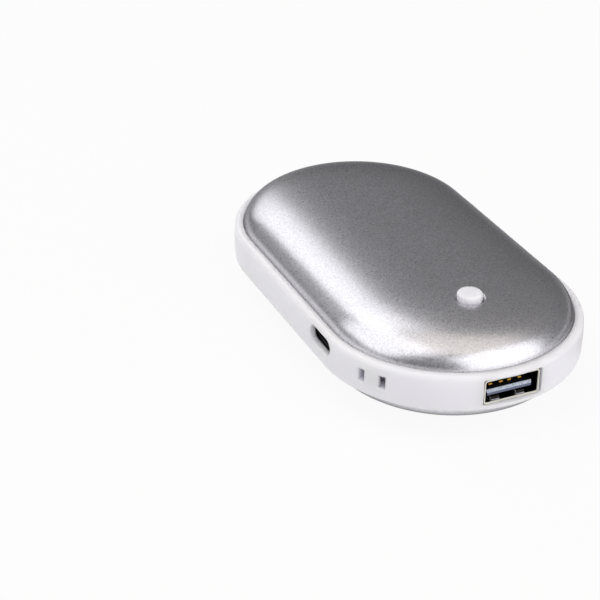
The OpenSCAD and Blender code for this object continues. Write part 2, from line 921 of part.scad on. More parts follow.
module outlet_tongue() {
    wall = 2 * sheet_t + 2 * seat_gap;
    block_y = outlet_face + outlet_depth - tongue_block;
    tongue_l = outlet_depth - tongue_recess - tongue_block + cut;
    nose = tongue_h * tongue_nose_share;
    color("black")
        difference() {
            union() {
                translate([0, outlet_face + tongue_recess, floor_top + tongue_lift])
                    along_x(tongue_w)
                        polygon([[0, nose], [nose, 0], [tongue_l, 0],
                            [tongue_l, tongue_h], [nose, tongue_h],
                            [0, tongue_h - nose]]);
                translate([0, block_y, mid_z])
                    along_y(tongue_block - 2 * pin_t)
                        polygon(rounded_points(outlet_w - wall, outlet_h - wall,
                            sheet_r - sheet_t));
            }
            for (x = pin_places)
                translate([x, block_y + tongue_block / 2,
                    tongue_top + 2 * pin_t])
                    cube([pin_w + 2 * seat_gap, tongue_block + cut, 4 * pin_t], center = true);
        }
}

module outlet_contacts() {
    start = outlet_face + tongue_recess + pin_start;
    back = outlet_face + outlet_depth;
    color("goldenrod")
        for (x = pin_places)
            translate([x, 0, 0])
                along_x(pin_w)
                    polygon([[start, tongue_top], [back, tongue_top], [back, board_z],
                        [back - pin_t, board_z], [back - pin_t, tongue_top + pin_t],
                        [start + pin_w, tongue_top + pin_t],
                        [start + pin_w / 2, tongue_top + 2 * pin_t],
                        [start, tongue_top + pin_t]]);
}

// Inlet socket, hung under the board and open to the side
inlet_face = -body_w / 2 + inlet_recess;
inlet_z = board_z - inlet_h / 2 - socket_gap;
inlet_sheet = 0.25;
inlet_tongue_w = 6.7;
inlet_tongue_t = 0.7;
inlet_tongue_recess = 0.6;
inlet_back = 1.4;
strip_w = 0.25;
strip_pitch = 0.5;
strip_count = 12;

module along_inlet(length) {
    translate([inlet_face, inlet_y, inlet_z])
        rotate([90, 0, 90]) linear_extrude(height = length) children();
}

module inlet_shell() {
    color("gainsboro")
        difference() {
            union() {
                along_inlet(inlet_depth) polygon(obround_points(inlet_w, inlet_h));
                for (side = [-1, 1])
                    block([leg_l, inlet_sheet, inlet_h / 2 + socket_gap],
                        [inlet_face + inlet_depth / 2,
                        inlet_y + side * (inlet_w - inlet_sheet) / 2,
                        inlet_z + inlet_h / 4 + socket_gap / 2]);
            }
            translate([-inlet_sheet, 0, 0])
                along_inlet(inlet_depth)
                    polygon(obround_points(inlet_w - 2 * inlet_sheet, inlet_h - 2 * inlet_sheet));
        }
}

module inlet_tongue() {
    gap = seat_gap;
    length = inlet_depth - inlet_sheet - gap;
    color("black")
        union() {
            translate([length - inlet_back, 0, 0])
                along_inlet(inlet_back)
                    polygon(obround_points(inlet_w - 2 * inlet_sheet - 2 * gap,
                        inlet_h - 2 * inlet_sheet - 2 * gap));
            translate([inlet_tongue_recess, 0, 0])
                along_inlet(length - inlet_tongue_recess)
                    square([inlet_tongue_w, inlet_tongue_t], center = true);
        }
}

module inlet_contacts() {
    reach = inlet_depth - inlet_back - inlet_tongue_recess - 3 * inlet_sheet;
    color("goldenrod")
        for (side = [-1, 1], i = [0 : strip_count - 1])
            translate([inlet_tongue_recess + inlet_sheet, 0, 0])
                along_inlet(reach)
                    translate([(i - (strip_count - 1) / 2) * strip_pitch,
                        side * (inlet_tongue_t + inlet_sheet / 2) / 2])
                        square([strip_w, inlet_sheet / 2], center = true);
}

// Switch and button
switch_w = 4.5;
switch_h = 3.3;
cover_t = 0.2;
plunger_r = 1.5;
plunger_up = 0.9;
plunger_down = 1.2;
plunger_gap = 0.1;
touch_gap = 0.05;
stem_r = 1.6;
flange_r = 4;
flange_t = 0.6;
flange_gap = 0.3;
switch_top = board_top + switch_h + cover_t;
plunger_top = switch_top + plunger_up;
shell_at_button = body_h - floor_z(0, button_y);
flange_top = shell_at_button - flange_gap;
flange_low = flange_top - flange_t;
cap_top = dome_base + dome_height(from_centre(0, button_y), shell_half_w, shell_rise)
    + button_proud;

module at_button(z) {
    translate([0, button_y, z]) children();
}

module switch_body() {
    well_h = plunger_down + button_travel + plunger_gap;
    color("black")
        at_button(board_top)
            difference() {
                union() {
                    translate([-switch_w / 2, -switch_w / 2, 0])
                        cube([switch_w, switch_w, switch_h]);
                    for (x = [-1, 1], y = [-1, 1])
                        translate([x * (switch_w / 2 + leg_reach / 2), y * switch_w / 3, leg_t / 2])
                            cube([leg_reach, 3 * leg_t, leg_t], center = true);
                }
                translate([0, 0, switch_h - well_h])
                    cylinder(r = plunger_r + 3 * plunger_gap, h = well_h + cut, $fn = 48);
            }
}

module switch_cover() {
    color("silver")
        at_button(board_top + switch_h)
            difference() {
                translate([-switch_w / 2, -switch_w / 2, 0]) cube([switch_w, switch_w, cover_t]);
                translate([0, 0, -cut])
                    cylinder(r = plunger_r + plunger_gap, h = cover_t + 2 * cut, $fn = 48);
            }
}

module switch_plunger() {
    foot_h = (plunger_down - cover_t) / 2;
    color("black")
        at_button(switch_top - plunger_down) {
            cylinder(r = plunger_r, h = plunger_down + plunger_up, $fn = 48);
            cylinder(r = plunger_r + 2 * plunger_gap, h = foot_h, $fn = 48);
        }
}

module button_cap() {
    cap_r = button_d / 2;
    color("white")
        at_button(0)
            rotate_extrude()
                polygon(concat(
                    [[0, plunger_top + touch_gap], [stem_r, plunger_top + touch_gap],
                    [stem_r, flange_low], [flange_r, flange_low], [flange_r, flange_top],
                    [cap_r, flange_top]],
                    arc_points([cap_r - button_round, cap_top - button_round],
                        button_round, 0, 90, corner_steps),
                    [[0, cap_top]]));
}

top_shell();
bottom_shell();
mid_frame();
shell_adhesive_top();
shell_adhesive_bottom();
inner_tray();
tray_screws();
battery_cells();
cell_insulators();
nickel_strips();
battery_lead_red();
battery_lead_black();
foam_strips_top();
foam_strips_bottom();
heater_film_top();
heater_film_bottom();
heater_tail_top();
heater_tail_bottom();
heater_connectors();
thermistor();
main_board();
board_screws();
control_chip();
power_inductor();
board_capacitors();
indicator_leds();
outlet_shell();
outlet_tongue();
outlet_contacts();
inlet_shell();
inlet_tongue();
inlet_contacts();
switch_body();
switch_cover();
switch_plunger();
button_cap();
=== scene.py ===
"""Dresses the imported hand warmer: two blasted metal shells on a white moulded ring, its button and sockets.

The warmer's lengths are millimetres, as in the part's source, and its meshes are put into metres. The
studio's lengths are metres.
"""
import logging
import math
from collections.abc import Callable, Iterable
from dataclasses import dataclass, field
from enum import Enum

import bmesh
import bpy
from mathutils import Matrix, Vector


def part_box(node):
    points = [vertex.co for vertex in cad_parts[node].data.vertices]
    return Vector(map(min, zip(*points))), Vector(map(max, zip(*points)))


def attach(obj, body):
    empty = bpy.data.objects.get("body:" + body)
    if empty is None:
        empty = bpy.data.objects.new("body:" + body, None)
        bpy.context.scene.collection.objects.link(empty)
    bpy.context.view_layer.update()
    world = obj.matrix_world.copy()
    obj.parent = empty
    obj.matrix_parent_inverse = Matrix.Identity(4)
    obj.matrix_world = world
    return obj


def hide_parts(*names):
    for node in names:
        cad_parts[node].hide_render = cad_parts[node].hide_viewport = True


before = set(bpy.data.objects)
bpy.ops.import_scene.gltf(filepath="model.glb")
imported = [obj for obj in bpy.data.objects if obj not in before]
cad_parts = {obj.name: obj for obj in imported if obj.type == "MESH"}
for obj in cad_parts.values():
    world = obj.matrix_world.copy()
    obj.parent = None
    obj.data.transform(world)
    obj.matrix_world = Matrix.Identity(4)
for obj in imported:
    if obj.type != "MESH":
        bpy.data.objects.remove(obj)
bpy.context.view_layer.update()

MM = 0.001
# Points closer than MERGE become one, and HAIR keeps two faces out of one plane, both in millimetres
MERGE = 0.003
HAIR = 0.01
# How far large faces lead the shading round their edges, out of 100
FACE_WEIGHT = 80
# Most values of a noise texture lie between these two
NOISE_LOW = 0.3
NOISE_HIGH = 0.7
HOUSING = "housing"
BUTTON = "button"
log = logging.getLogger("hand_warmer")

Point2 = tuple[float, float]
Point3 = tuple[float, float, float]
Colour = tuple[float, float, float]
Mesh = bmesh.types.BMesh


class Half(Enum):
    """The two halves of the body, as the sign of their height over the middle."""

    UPPER = 1
    LOWER = -1


# Sizes of the body


@dataclass(frozen=True)
class Body:
    """Main sizes of the body in millimetres, shared by the pieces that fit together.

    The outer sizes come from the frame. The rest repeats the part's named sizes, with a slightly fuller
    dome and a rounder ring edge, as the photograph shows them.
    """

    length: float
    width: float
    ring_low: float
    ring_high: float
    dome_rise: float = 7.0
    dome_sink: float = 2.85
    dome_power: float = 3.1
    shell_t: float = 0.9
    shell_gap: float = 0.12
    foot_depth: float = 0.85
    rim_w: float = 2.0
    ledge_w: float = 1.2
    wall_crown: float = 0.18
    edge_r: float = 1.25
    glue_t: float = 0.15

    @classmethod
    def from_frame(cls) -> "Body":
        """Reads the outer sizes off the ring frame's node.

        Returns:
            The body's sizes in millimetres.
        """
        low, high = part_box("mid_frame")
        return cls(length=2 * high.y / MM, width=2 * high.x / MM, ring_low=low.z / MM, ring_high=high.z / MM)

    @property
    def straight(self) -> float:
        """Length of the stadium's straight sides."""
        return self.length - self.width

    @property
    def mid_z(self) -> float:
        """Height of the ring's middle."""
        return (self.ring_low + self.ring_high) / 2

    @property
    def ring_h(self) -> float:
        """Height of the ring."""
        return self.ring_high - self.ring_low

    @property
    def lip_half_w(self) -> float:
        """Half width inside the ring's lip."""
        return self.width / 2 - self.rim_w

    @property
    def ring_half_w(self) -> float:
        """Half width inside the ring."""
        return self.lip_half_w - self.ledge_w

    @property
    def ledge_z(self) -> float:
        """Height of the ledge over the ring's middle."""
        return self.ring_h / 2 - self.foot_depth - self.glue_t

    @property
    def shell_half_w(self) -> float:
        """Half width of a shell outside."""
        return self.lip_half_w - self.shell_gap

    @property
    def dome_base(self) -> float:
        """Height at which the dome curve of the upper shell starts."""
        return self.ring_high - self.dome_sink

    @property
    def shell_rise(self) -> float:
        """Rise of the outer dome curve over its start."""
        return self.dome_rise + self.dome_sink

    def dome_height(self, x: float, y: float) -> float:
        """Gives the height of the upper shell's outer face.

        Args:
            x: Place across the body.
            y: Place along the body.

        Returns:
            The height over the floor.
        """
        off = math.hypot(x, max(0.0, abs(y) - self.straight / 2))
        share = min(1.0, off / self.shell_half_w)
        return self.dome_base + self.shell_rise * (1 - share ** self.dome_power) ** (1 / self.dome_power)

    def wall_at(self, z: float) -> float:
        """Gives the ring's outer half width at a height over the ring's middle."""
        return self.width / 2 - self.wall_crown * (2 * z / self.ring_h) ** 2


# Mesh helpers


def arc(centre: Point2, radius: float, start: float, end: float, steps: int) -> list[Point2]:
    """Gives points along an arc.

    Args:
        centre: Centre of the arc.
        radius: Radius of the arc.
        start: First angle in degrees.
        end: Last angle in degrees.
        steps: Number of steps between the first and the last point.

    Returns:
        The points, both ends included.
    """
    angles = [math.radians(start + (end - start) * i / steps) for i in range(steps + 1)]
    return [(centre[0] + radius * math.cos(a), centre[1] + radius * math.sin(a)) for a in angles]


def rounded_box(width: float, height: float, radius: float, steps: int, side_steps: int = 1) -> list[Point2]:
    """Gives the outline of a rectangle with round corners, centred on zero.

    Args:
        width: Full width.
        height: Full height.
        radius: Corner radius.
        steps: Steps in each corner.
        side_steps: Steps along each side, so that it can follow a curved face.

    Returns:
        The outline's points, counter-clockwise.
    """
    x, y = width / 2 - radius, height / 2 - radius
    corners = [((x, y), 0), ((-x, y), 90), ((-x, -y), 180), ((x, -y), 270)]
    turns = [arc(centre, radius, turn, turn + 90, steps) for centre, turn in corners]
    outline = []
    for turn, following in zip(turns, turns[1:] + turns[:1]):
        (a, b), (c, d) = turn[-1], following[0]
        outline += turn + [(a + (c - a) * i / side_steps, b + (d - b) * i / side_steps)
                           for i in range(1, side_steps)]
    return outline


def sweep_round(mesh: Mesh, section: list[Point2], closed: bool, body: Body) -> None:
    """Sweeps a half section round the body's stadium.

    Args:
        mesh: The mesh to add to.
        section: Points of the section, each a distance from the centre line and a height.
        closed: Whether the section's last point joins its first.
        body: The body's sizes.
    """
    turn_steps, run_steps = 112, 24
    half = body.straight / 2
    verts = [mesh.verts.new((x, half, z)) for x, z in section]
    pairs = list(zip(verts, verts[1:])) + ([(verts[-1], verts[0])] if closed else [])
    ring = verts + [mesh.edges.new(pair) for pair in pairs]
    for end in (1, -1):
        turned = bmesh.ops.spin(mesh, geom=ring, cent=(0, end * half, 0), axis=(0, 0, 1), angle=math.pi,
                                steps=turn_steps, use_merge=False, use_duplicate=False)
        run = bmesh.ops.spin(mesh, geom=turned["geom_last"], cent=(0, 0, 0), axis=(0, 0, 1), angle=0,
                             dvec=(0, -end * body.straight / run_steps, 0), steps=run_steps,
                             use_merge=False, use_duplicate=False)
        ring = run["geom_last"]
    bmesh.ops.remove_doubles(mesh, verts=mesh.verts, dist=MERGE)
    bmesh.ops.recalc_face_normals(mesh, faces=mesh.faces)


def add_loop(mesh: Mesh, points: list[Vector]) -> list[bmesh.types.BMVert]:
    """Adds a closed loop of edges.

    Args:
        mesh: The mesh to add to.
        points: Places of the loop's corners in order.

    Returns:
        The loop's vertices in order.
    """
    made = bmesh.ops.create_circle(mesh, cap_ends=False, segments=len(points), radius=1.0)["verts"]
    for vert, place in zip(made, points):
        vert.co = place
    return list(made)


def extrude_loop(mesh: Mesh, loop: list[bmesh.types.BMVert],
                 points: list[Vector]) -> list[bmesh.types.BMVert]:
    """Extrudes a loop of edges and puts the new loop in its place.

    Args:
        mesh: The mesh that holds the loop.
        loop: The loop's vertices in order.
        points: Places of the new loop's corners in the same order.

    Returns:
        The new loop's vertices in order.
    """
    ring = set(loop)
    edges = [e for e in {e for v in loop for e in v.link_edges}
             if e.verts[0] in ring and e.verts[1] in ring]
    made = bmesh.ops.extrude_edge_only(mesh, edges=edges)["geom"]
    fresh = {v for v in made if isinstance(v, bmesh.types.BMVert)}
    partner = {e.other_vert(v): v for v in fresh for e in v.link_edges if e.other_vert(v) not in fresh}
    grown = [partner[v] for v in loop]
    for vert, place in zip(grown, points):
        vert.co = place
    return grown


def loft(mesh: Mesh, loops: list[list[Vector]], caps: bool = True) -> None:
    """Builds a closed or open skin through loops of equal length.

    Args:
        mesh: The mesh to add to.
        loops: The loops' points, one list for each loop.
        caps: Whether both ends are closed.
    """
    first = add_loop(mesh, loops[0])
    last = first
    for points in loops[1:]:
        last = extrude_loop(mesh, last, points)
    if caps:
        mesh.faces.new(first)
        mesh.faces.new(last)
    close_skin(mesh)


def close_skin(mesh: Mesh) -> None:
    """Turns every face of a mesh outwards.

    Args:
        mesh: The mesh to turn.
    """
    bmesh.ops.recalc_face_normals(mesh, faces=mesh.faces)
    if mesh.calc_volume(signed=True) < 0:
        bmesh.ops.reverse_faces(mesh, faces=mesh.faces)


def prism(mesh: Mesh, outline: list[Point2], place: Callable[[float, float, float], Vector],
          start: float, end: float) -> None:
    """Builds a straight prism over an outline.

    Args:
        mesh: The mesh to add to.
        outline: The outline's points.
        place: Gives a point from the outline's two coordinates and a depth.
        start: Depth of the first end.
        end: Depth of the last end.
    """
    loft(mesh, [[place(a, b, depth) for a, b in outline] for depth in (start, end)])


def new_object(name: str, build: Callable[[Mesh], None], unit: float = MM) -> bpy.types.Object:
    """Makes an object whose mesh a function builds.

    Args:
        name: The object's name.
        build: Fills the mesh.
        unit: Metres in one unit of the built mesh.

    Returns:
        The linked object, with its mesh in metres.
    """
    mesh = bmesh.new()
    build(mesh)
    bmesh.ops.scale(mesh, vec=(unit, unit, unit), verts=mesh.verts)
    data = bpy.data.meshes.new(name)
    mesh.to_mesh(data)
    mesh.free()
    piece = bpy.data.objects.new(name, data)
    bpy.context.scene.collection.objects.link(piece)
    return piece


def apply_modifiers(piece: bpy.types.Object) -> None:
    """Puts a piece's modifiers into its mesh and removes them.

    Args:
        piece: The piece with its modifiers.
    """
    bpy.context.view_layer.update()
    shown = piece.evaluated_get(bpy.context.evaluated_depsgraph_get())
    data = bpy.data.meshes.new_from_object(shown)
    old = piece.data
    piece.modifiers.clear()
    piece.data = data
    data.name = piece.name
    bpy.data.meshes.remove(old)


def cut_out(piece: bpy.types.Object, cutters: Iterable[bpy.types.Object]) -> None:
    """Cuts solids out of a piece and removes the cutters.

    Args:
        piece: The piece that is cut.
        cutters: The solids to take away.
    """
    for cutter in cutters:
        step = piece.modifiers.new(cutter.name, "BOOLEAN")
        step.operation = "DIFFERENCE"
        step.solver = "EXACT"
        step.object = cutter
        apply_modifiers(piece)
        bpy.data.objects.remove(cutter)


def smooth(piece: bpy.types.Object, angle: float = 36.0, weighted: bool = False) -> None:
    """Shades a piece smoothly with sharp edges past an angle.

    Args:
        piece: The piece to shade.
        angle: The angle in degrees past which an edge stays sharp.
        weighted: Whether large faces lead the shading round their edges.
    """
    piece.data.shade_smooth()
    piece.data.set_sharp_from_angle(angle=math.radians(angle))
    if weighted:
        step = piece.modifiers.new("weighted", "WEIGHTED_NORMAL")
        step.keep_sharp = True
        step.weight = FACE_WEIGHT
        apply_modifiers(piece)


def mark_faces(piece: bpy.types.Object, slot: int, chosen: Callable[[bpy.types.MeshPolygon], bool]) -> None:
    """Gives the chosen faces of a piece another material slot.

    Args:
        piece: The piece.
        slot: Index of the material slot.
        chosen: Tells whether a face takes the slot.
    """
    for face in piece.data.polygons:
        if chosen(face):
            face.material_index = slot


# Finishes


def set_inputs(node: bpy.types.Node, values: dict[str, object]) -> None:
    """Sets inputs of a node.

    Args:
        node: The node.
        values: A value for each input's name.
    """
    for name, value in values.items():
        node.inputs[name].default_value = value


def shade(colour: Colour, factor: float) -> Colour:
    """Gives a colour made lighter or darker by a factor."""
    return tuple(min(1.0, part * factor) for part in colour)


def grey(tone: float) -> tuple[float, float, float, float]:
    """Gives an opaque grey of a tone."""
    return (tone, tone, tone, 1.0)


class NodeSheet:
    """Builds the node tree of one material."""

    def __init__(self, name: str, kind: str = "ShaderNodeBsdfPrincipled") -> None:
        """Starts a material with a shader on its output.

        Args:
            name: The material's name.
            kind: Type name of the shader's node.
        """
        self.material = bpy.data.materials.new(name)
        self.material.use_nodes = True
        self.tree = self.material.node_tree
        self.tree.nodes.clear()
        self.shader = self.add(kind)
        self.link(self.shader, 0, self.add("ShaderNodeOutputMaterial"), "Surface")

    def add(self, kind: str, **values: object) -> bpy.types.Node:
        """Adds a node and sets its properties.

        Args:
            kind: The node's type name.
            **values: Properties of the node itself.

        Returns:
            The new node.
        """
        node = self.tree.nodes.new(kind)
        for key, value in values.items():
            setattr(node, key, value)
        return node

    def link(self, source: bpy.types.Node, output: str | int,
             target: bpy.types.Node, socket: str | int) -> None:
        """Links an output of one node to an input of another."""
        self.tree.links.new(source.outputs[output], target.inputs[socket])

    def noise(self, scale: float, detail: float = 2.0, rough: float = 0.5,
              stretch: Point3 = (1.0, 1.0, 1.0)) -> bpy.types.Node:
        """Adds a noise texture on object coordinates.

        Args:
            scale: Features for each metre.
            detail: Octaves of the noise.
            rough: Share of each finer octave.
            stretch: Scale along each axis.

        Returns:
            The noise node.
        """
        grid = self.add("ShaderNodeMapping")
        set_inputs(grid, {"Scale": stretch})
        self.link(self.add("ShaderNodeTexCoord"), "Object", grid, "Vector")
        node = self.add("ShaderNodeTexNoise")
        set_inputs(node, {"Scale": scale, "Detail": detail, "Roughness": rough})
        self.link(grid, "Vector", node, "Vector")
        return node

    def roughen(self, source: bpy.types.Node, low: float, high: float) -> None:
        """Lets a noise texture vary the surface's roughness.

        Args:
            source: The texture node.
            low: Roughness of the dark part.
            high: Roughness of the light part.
        """
        node = self.add("ShaderNodeMapRange")
        set_inputs(node, {"From Min": NOISE_LOW, "From Max": NOISE_HIGH, "To Min": low, "To Max": high})
        self.link(source, "Fac", node, "Value")
        self.link(node, "Result", self.shader, "Roughness")

    def tint(self, source: bpy.types.Node, colour: Colour, darker: float, lighter: float) -> None:
        """Lets a noise texture vary the surface's colour.

        Args:
            source: The texture node.
            colour: The mean colour.
            darker: Factor for the dark part.
            lighter: Factor for the light part.
        """
        ramp = self.add("ShaderNodeValToRGB")
        stops = ((NOISE_LOW, darker), (NOISE_HIGH, lighter))
        for element, (position, factor) in zip(ramp.color_ramp.elements, stops):
            element.position = position
            element.color = (*shade(colour, factor), 1.0)
        self.link(source, "Fac", ramp, "Fac")
        self.link(ramp, "Color", self.shader, "Base Color")

    def bump(self, layers: list[tuple[bpy.types.Node, str, float]]) -> None:
        """Stacks bump layers on the shader's normal.

        Args:
            layers: Each layer's texture, its output and its height in metres.
        """
        last = None
        for source, output, height in layers:
            node = self.add("ShaderNodeBump")
            set_inputs(node, {"Strength": 1.0, "Distance": height})
            self.link(source, output, node, "Height")
            if last is not None:
                self.link(last, "Normal", node, "Normal")
            last = node
        self.link(last, "Normal", self.shader, "Normal")


@dataclass(frozen=True)
class Finish:
    """A named finish that a material is built from."""

    name: str
    colour: Colour

    def paint(self, sheet: NodeSheet) -> None:
        """Adds the finish's own nodes to a sheet."""
        raise NotImplementedError

    def material(self) -> bpy.types.Material:
        """Builds the node material.

        Returns:
            The node material.
        """
        sheet = NodeSheet(self.name)
        self.paint(sheet)
        return sheet.material


@dataclass(frozen=True)
class BlastedMetal(Finish):
    """Bead-blasted aluminium: a satin skin with an even grain and finer specks."""

    roughness: float
    smoother: float = 0.04
    rougher: float = 0.05
    edge_tint: float = 0.25
    grain_per_m: float = 2300.0
    grain_octave: float = 0.6
    grain_height: float = 0.000006
    speck_per_m: float = 2530.0
    speck_octave: float = 0.8
    speck_depth: float = 0.2

    def paint(self, sheet: NodeSheet) -> None:
        """Adds the metal, its grain and its specks.

        Args:
            sheet: The sheet to add to.
        """
        set_inputs(sheet.shader, {"Metallic": 1.0, "Specular Tint": grey(self.edge_tint)})
        grain = sheet.noise(self.grain_per_m, detail=1.0, rough=self.grain_octave)
        speck = sheet.noise(self.speck_per_m, rough=self.speck_octave)
        sheet.tint(speck, self.colour, 1 - self.speck_depth, 1 + self.speck_depth)
        sheet.roughen(grain, self.roughness - self.smoother, self.roughness + self.rougher)
        sheet.bump([(grain, "Fac", self.grain_height)])


@dataclass(frozen=True)
class MouldedPlastic(Finish):
    """Moulded plastic with a fine spark-eroded skin, which may let some light in."""

    roughness: float
    uneven: float = 0.03
    grain_per_m: float = 5200.0
    grain_octave: float = 0.55
    grain_height: float = 0.0000022
    glow: float = 0.0
    glow_reach: float = 0.003
    mottle: float = 0.013
    mottle_per_m: float = 90.0
    mottle_height_times: float = 4.0

    def paint(self, sheet: NodeSheet) -> None:
        """Adds the skin, its mottle and the light that it lets in.

        Args:
            sheet: The sheet to add to.
        """
        grain = sheet.noise(self.grain_per_m, rough=self.grain_octave)
        flow = sheet.noise(self.mottle_per_m)
        sheet.tint(flow, self.colour, 1 - self.mottle, 1 + self.mottle)
        sheet.roughen(flow, self.roughness - self.uneven, self.roughness + self.uneven)
        if self.glow > 0.0:
            set_inputs(sheet.shader, {"Subsurface Weight": self.glow, "Subsurface Scale": 1.0,
                                      "Subsurface Radius": (self.glow_reach,) * 3})
        flow_height = self.grain_height * self.mottle_height_times
        sheet.bump([(grain, "Fac", self.grain_height), (flow, "Fac", flow_height)])


@dataclass(frozen=True)
class RolledMetal(Finish):
    """Rolled or drawn metal with faint lines along one axis."""

    roughness: float
    smoother: float = 0.05
    rougher: float = 0.08
    metal: float = 1.0
    lines: Point3 = (0.05, 1.0, 1.0)
    lines_per_m: float = 6000.0
    line_octave: float = 0.6
    line_height: float = 0.0000015
    stains_per_m: float = 300.0
    stain_dark: float = 0.9
    stain_light: float = 1.05

    def paint(self, sheet: NodeSheet) -> None:
        """Adds the metal, its lines and its stains.

        Args:
            sheet: The sheet to add to.
        """
        set_inputs(sheet.shader, {"Metallic": self.metal})
        drawn = sheet.noise(self.lines_per_m, rough=self.line_octave, stretch=self.lines)
        stain = sheet.noise(self.stains_per_m, detail=3.0)
        sheet.tint(stain, self.colour, self.stain_dark, self.stain_light)
        sheet.roughen(drawn, self.roughness - self.smoother, self.roughness + self.rougher)
        sheet.bump([(drawn, "Fac", self.line_height)])


@dataclass(frozen=True)
class FoamSheet(Finish):
    """Soft sheet with open pores, also used for adhesive."""

    pores_per_m: float = 1800.0
    pore_depth: float = 0.00006
    clouds_per_m: float = 500.0
    cloud: float = 0.2
    roughness: float = 0.85

    def paint(self, sheet: NodeSheet) -> None:
        """Adds the pores and the clouded colour.

        Args:
            sheet: The sheet to add to.
        """
        pores = sheet.add("ShaderNodeTexVoronoi", feature="F1")
        set_inputs(pores, {"Scale": self.pores_per_m})
        sheet.link(sheet.add("ShaderNodeTexCoord"), "Object", pores, "Vector")
        clouds = sheet.noise(self.clouds_per_m, detail=3.0)
        sheet.tint(clouds, self.colour, 1 - self.cloud, 1 + self.cloud)
        set_inputs(sheet.shader, {"Roughness": self.roughness})
        sheet.bump([(pores, "Distance", self.pore_depth)])


@dataclass(frozen=True)
class TracedBoard(Finish):
    """Solder-masked laminate whose copper tracks show faintly through the mask."""

    track_colour: Colour
    tracks_per_m: float = 420.0
    track_w_share: float = 0.06
    track_height: float = 0.00002
    other_field: float = 0.8
    roughness: float = 0.3

    def paint(self, sheet: NodeSheet) -> None:
        """Adds the mask and the tracks under it.

        Args:
            sheet: The sheet to add to.
        """
        tracks = sheet.add("ShaderNodeTexBrick", offset=0.35, squash=1.6, squash_frequency=3)
        set_inputs(tracks, {
            "Scale": self.tracks_per_m,
            "Mortar Size": self.track_w_share,
            "Color1": (*self.colour, 1.0),
            "Color2": (*shade(self.colour, self.other_field), 1.0),
            "Mortar": (*self.track_colour, 1.0),
        })
        sheet.link(sheet.add("ShaderNodeTexCoord"), "Object", tracks, "Vector")
        sheet.link(tracks, "Color", sheet.shader, "Base Color")
        set_inputs(sheet.shader, {"Roughness": self.roughness})
        sheet.bump([(tracks, "Fac", self.track_height)])


ALUMINIUM = BlastedMetal("blasted_aluminium", (0.69, 0.682, 0.718), 0.3)
WHITE_RING = MouldedPlastic("white_moulding", (0.868, 0.858, 0.925), 0.38, glow=0.9)
WHITE_CAP = MouldedPlastic("white_cap", (0.84, 0.832, 0.885), 0.34, grain_per_m=7000.0, glow=0.9)
# Near black on the faces of the inlet's pocket: painted shade of the deep recess
POCKET_PAINTED_SHADE = MouldedPlastic("inlet_pocket_painted_shade", (0.006, 0.006, 0.007), 0.6)
# Near black for the socket's sheet and leaves: painted shade inside the socket, not the steel's own colour
SOCKET_STEEL_PAINTED_SHADE = RolledMetal("socket_steel", (0.016, 0.015, 0.014), 0.35)
# Lighter grey on the leaves' front and side faces: painted highlight on the same steel
LEAF_EDGE_PAINTED_HIGHLIGHT = RolledMetal("leaf_edge_painted_highlight", (0.62, 0.62, 0.7), 0.35, metal=0.4)
# Cream white on the rim of the socket's mouth: painted highlight of the rolled lip
SOCKET_RIM_PAINTED_HIGHLIGHT = RolledMetal("socket_rim_painted_highlight", (1.0, 0.96, 0.86), 0.35, metal=0.2)
# Near black on the tongue behind its front: painted shade under the socket's roof on a blue-grey tongue
TONGUE_PAINTED_SHADE = MouldedPlastic("tongue_black", (0.012, 0.012, 0.014), 0.45)
TONGUE_FACE = MouldedPlastic("tongue_face", (0.13, 0.15, 0.24), 0.4)
# Light blue-grey with a strong mottle on the nose's upward slope: painted highlight and glints
TONGUE_NOSE_PAINTED_HIGHLIGHT = MouldedPlastic("tongue_nose_painted_highlight", (0.50, 0.56, 0.66), 0.35, mottle=0.45, mottle_per_m=3500.0)
GOLD = RolledMetal("contact_gold", (0.5, 0.27, 0.04), 0.35)

INNER_FINISHES: dict[str, Finish] = {
    "shell_adhesive_top": FoamSheet("adhesive", (0.62, 0.62, 0.6), 900.0),
    "inner_tray": MouldedPlastic("tray_plastic", (0.055, 0.055, 0.06), 0.5),
    "tray_screws": RolledMetal("screw_steel", (0.55, 0.55, 0.56), 0.3),
    "battery_cells": MouldedPlastic("cell_sleeve", (0.04, 0.16, 0.5), 0.25, grain_height=0.000001),
    "cell_insulators": MouldedPlastic("insulator_paper", (0.7, 0.66, 0.55), 0.8),
    "nickel_strips": RolledMetal("nickel", (0.66, 0.63, 0.58), 0.32),
    "battery_lead_red": MouldedPlastic("lead_red", (0.5, 0.02, 0.015), 0.4),
    "battery_lead_black": MouldedPlastic("lead_black", (0.02, 0.02, 0.02), 0.4),
    "foam_strips_top": FoamSheet("foam", (0.05, 0.05, 0.055)),
    "heater_film_top": MouldedPlastic("heater_film", (0.62, 0.22, 0.03), 0.28),
    "heater_connectors": MouldedPlastic("connector_plastic", (0.75, 0.72, 0.62), 0.45),
    "thermistor": MouldedPlastic("bead", (0.015, 0.015, 0.015), 0.3),
    "main_board": TracedBoard("board", (0.01, 0.13, 0.05), (0.02, 0.24, 0.08)),
    "board_capacitors": RolledMetal("can_metal", (0.7, 0.7, 0.71), 0.25),
    "indicator_leds": MouldedPlastic("lamp_resin", (0.8, 0.78, 0.5), 0.15),
    "inlet_shell": MouldedPlastic("inlet_shell_black", (0.014, 0.014, 0.016), 0.5),
    "inlet_tongue": MouldedPlastic("inlet_tongue_black", (0.012, 0.012, 0.014), 0.4),
    "inlet_contacts": GOLD,
    "switch_body": MouldedPlastic("switch_black", (0.02, 0.02, 0.02), 0.45),
    "switch_cover": RolledMetal("switch_cover_steel", (0.6, 0.6, 0.6), 0.3),
}
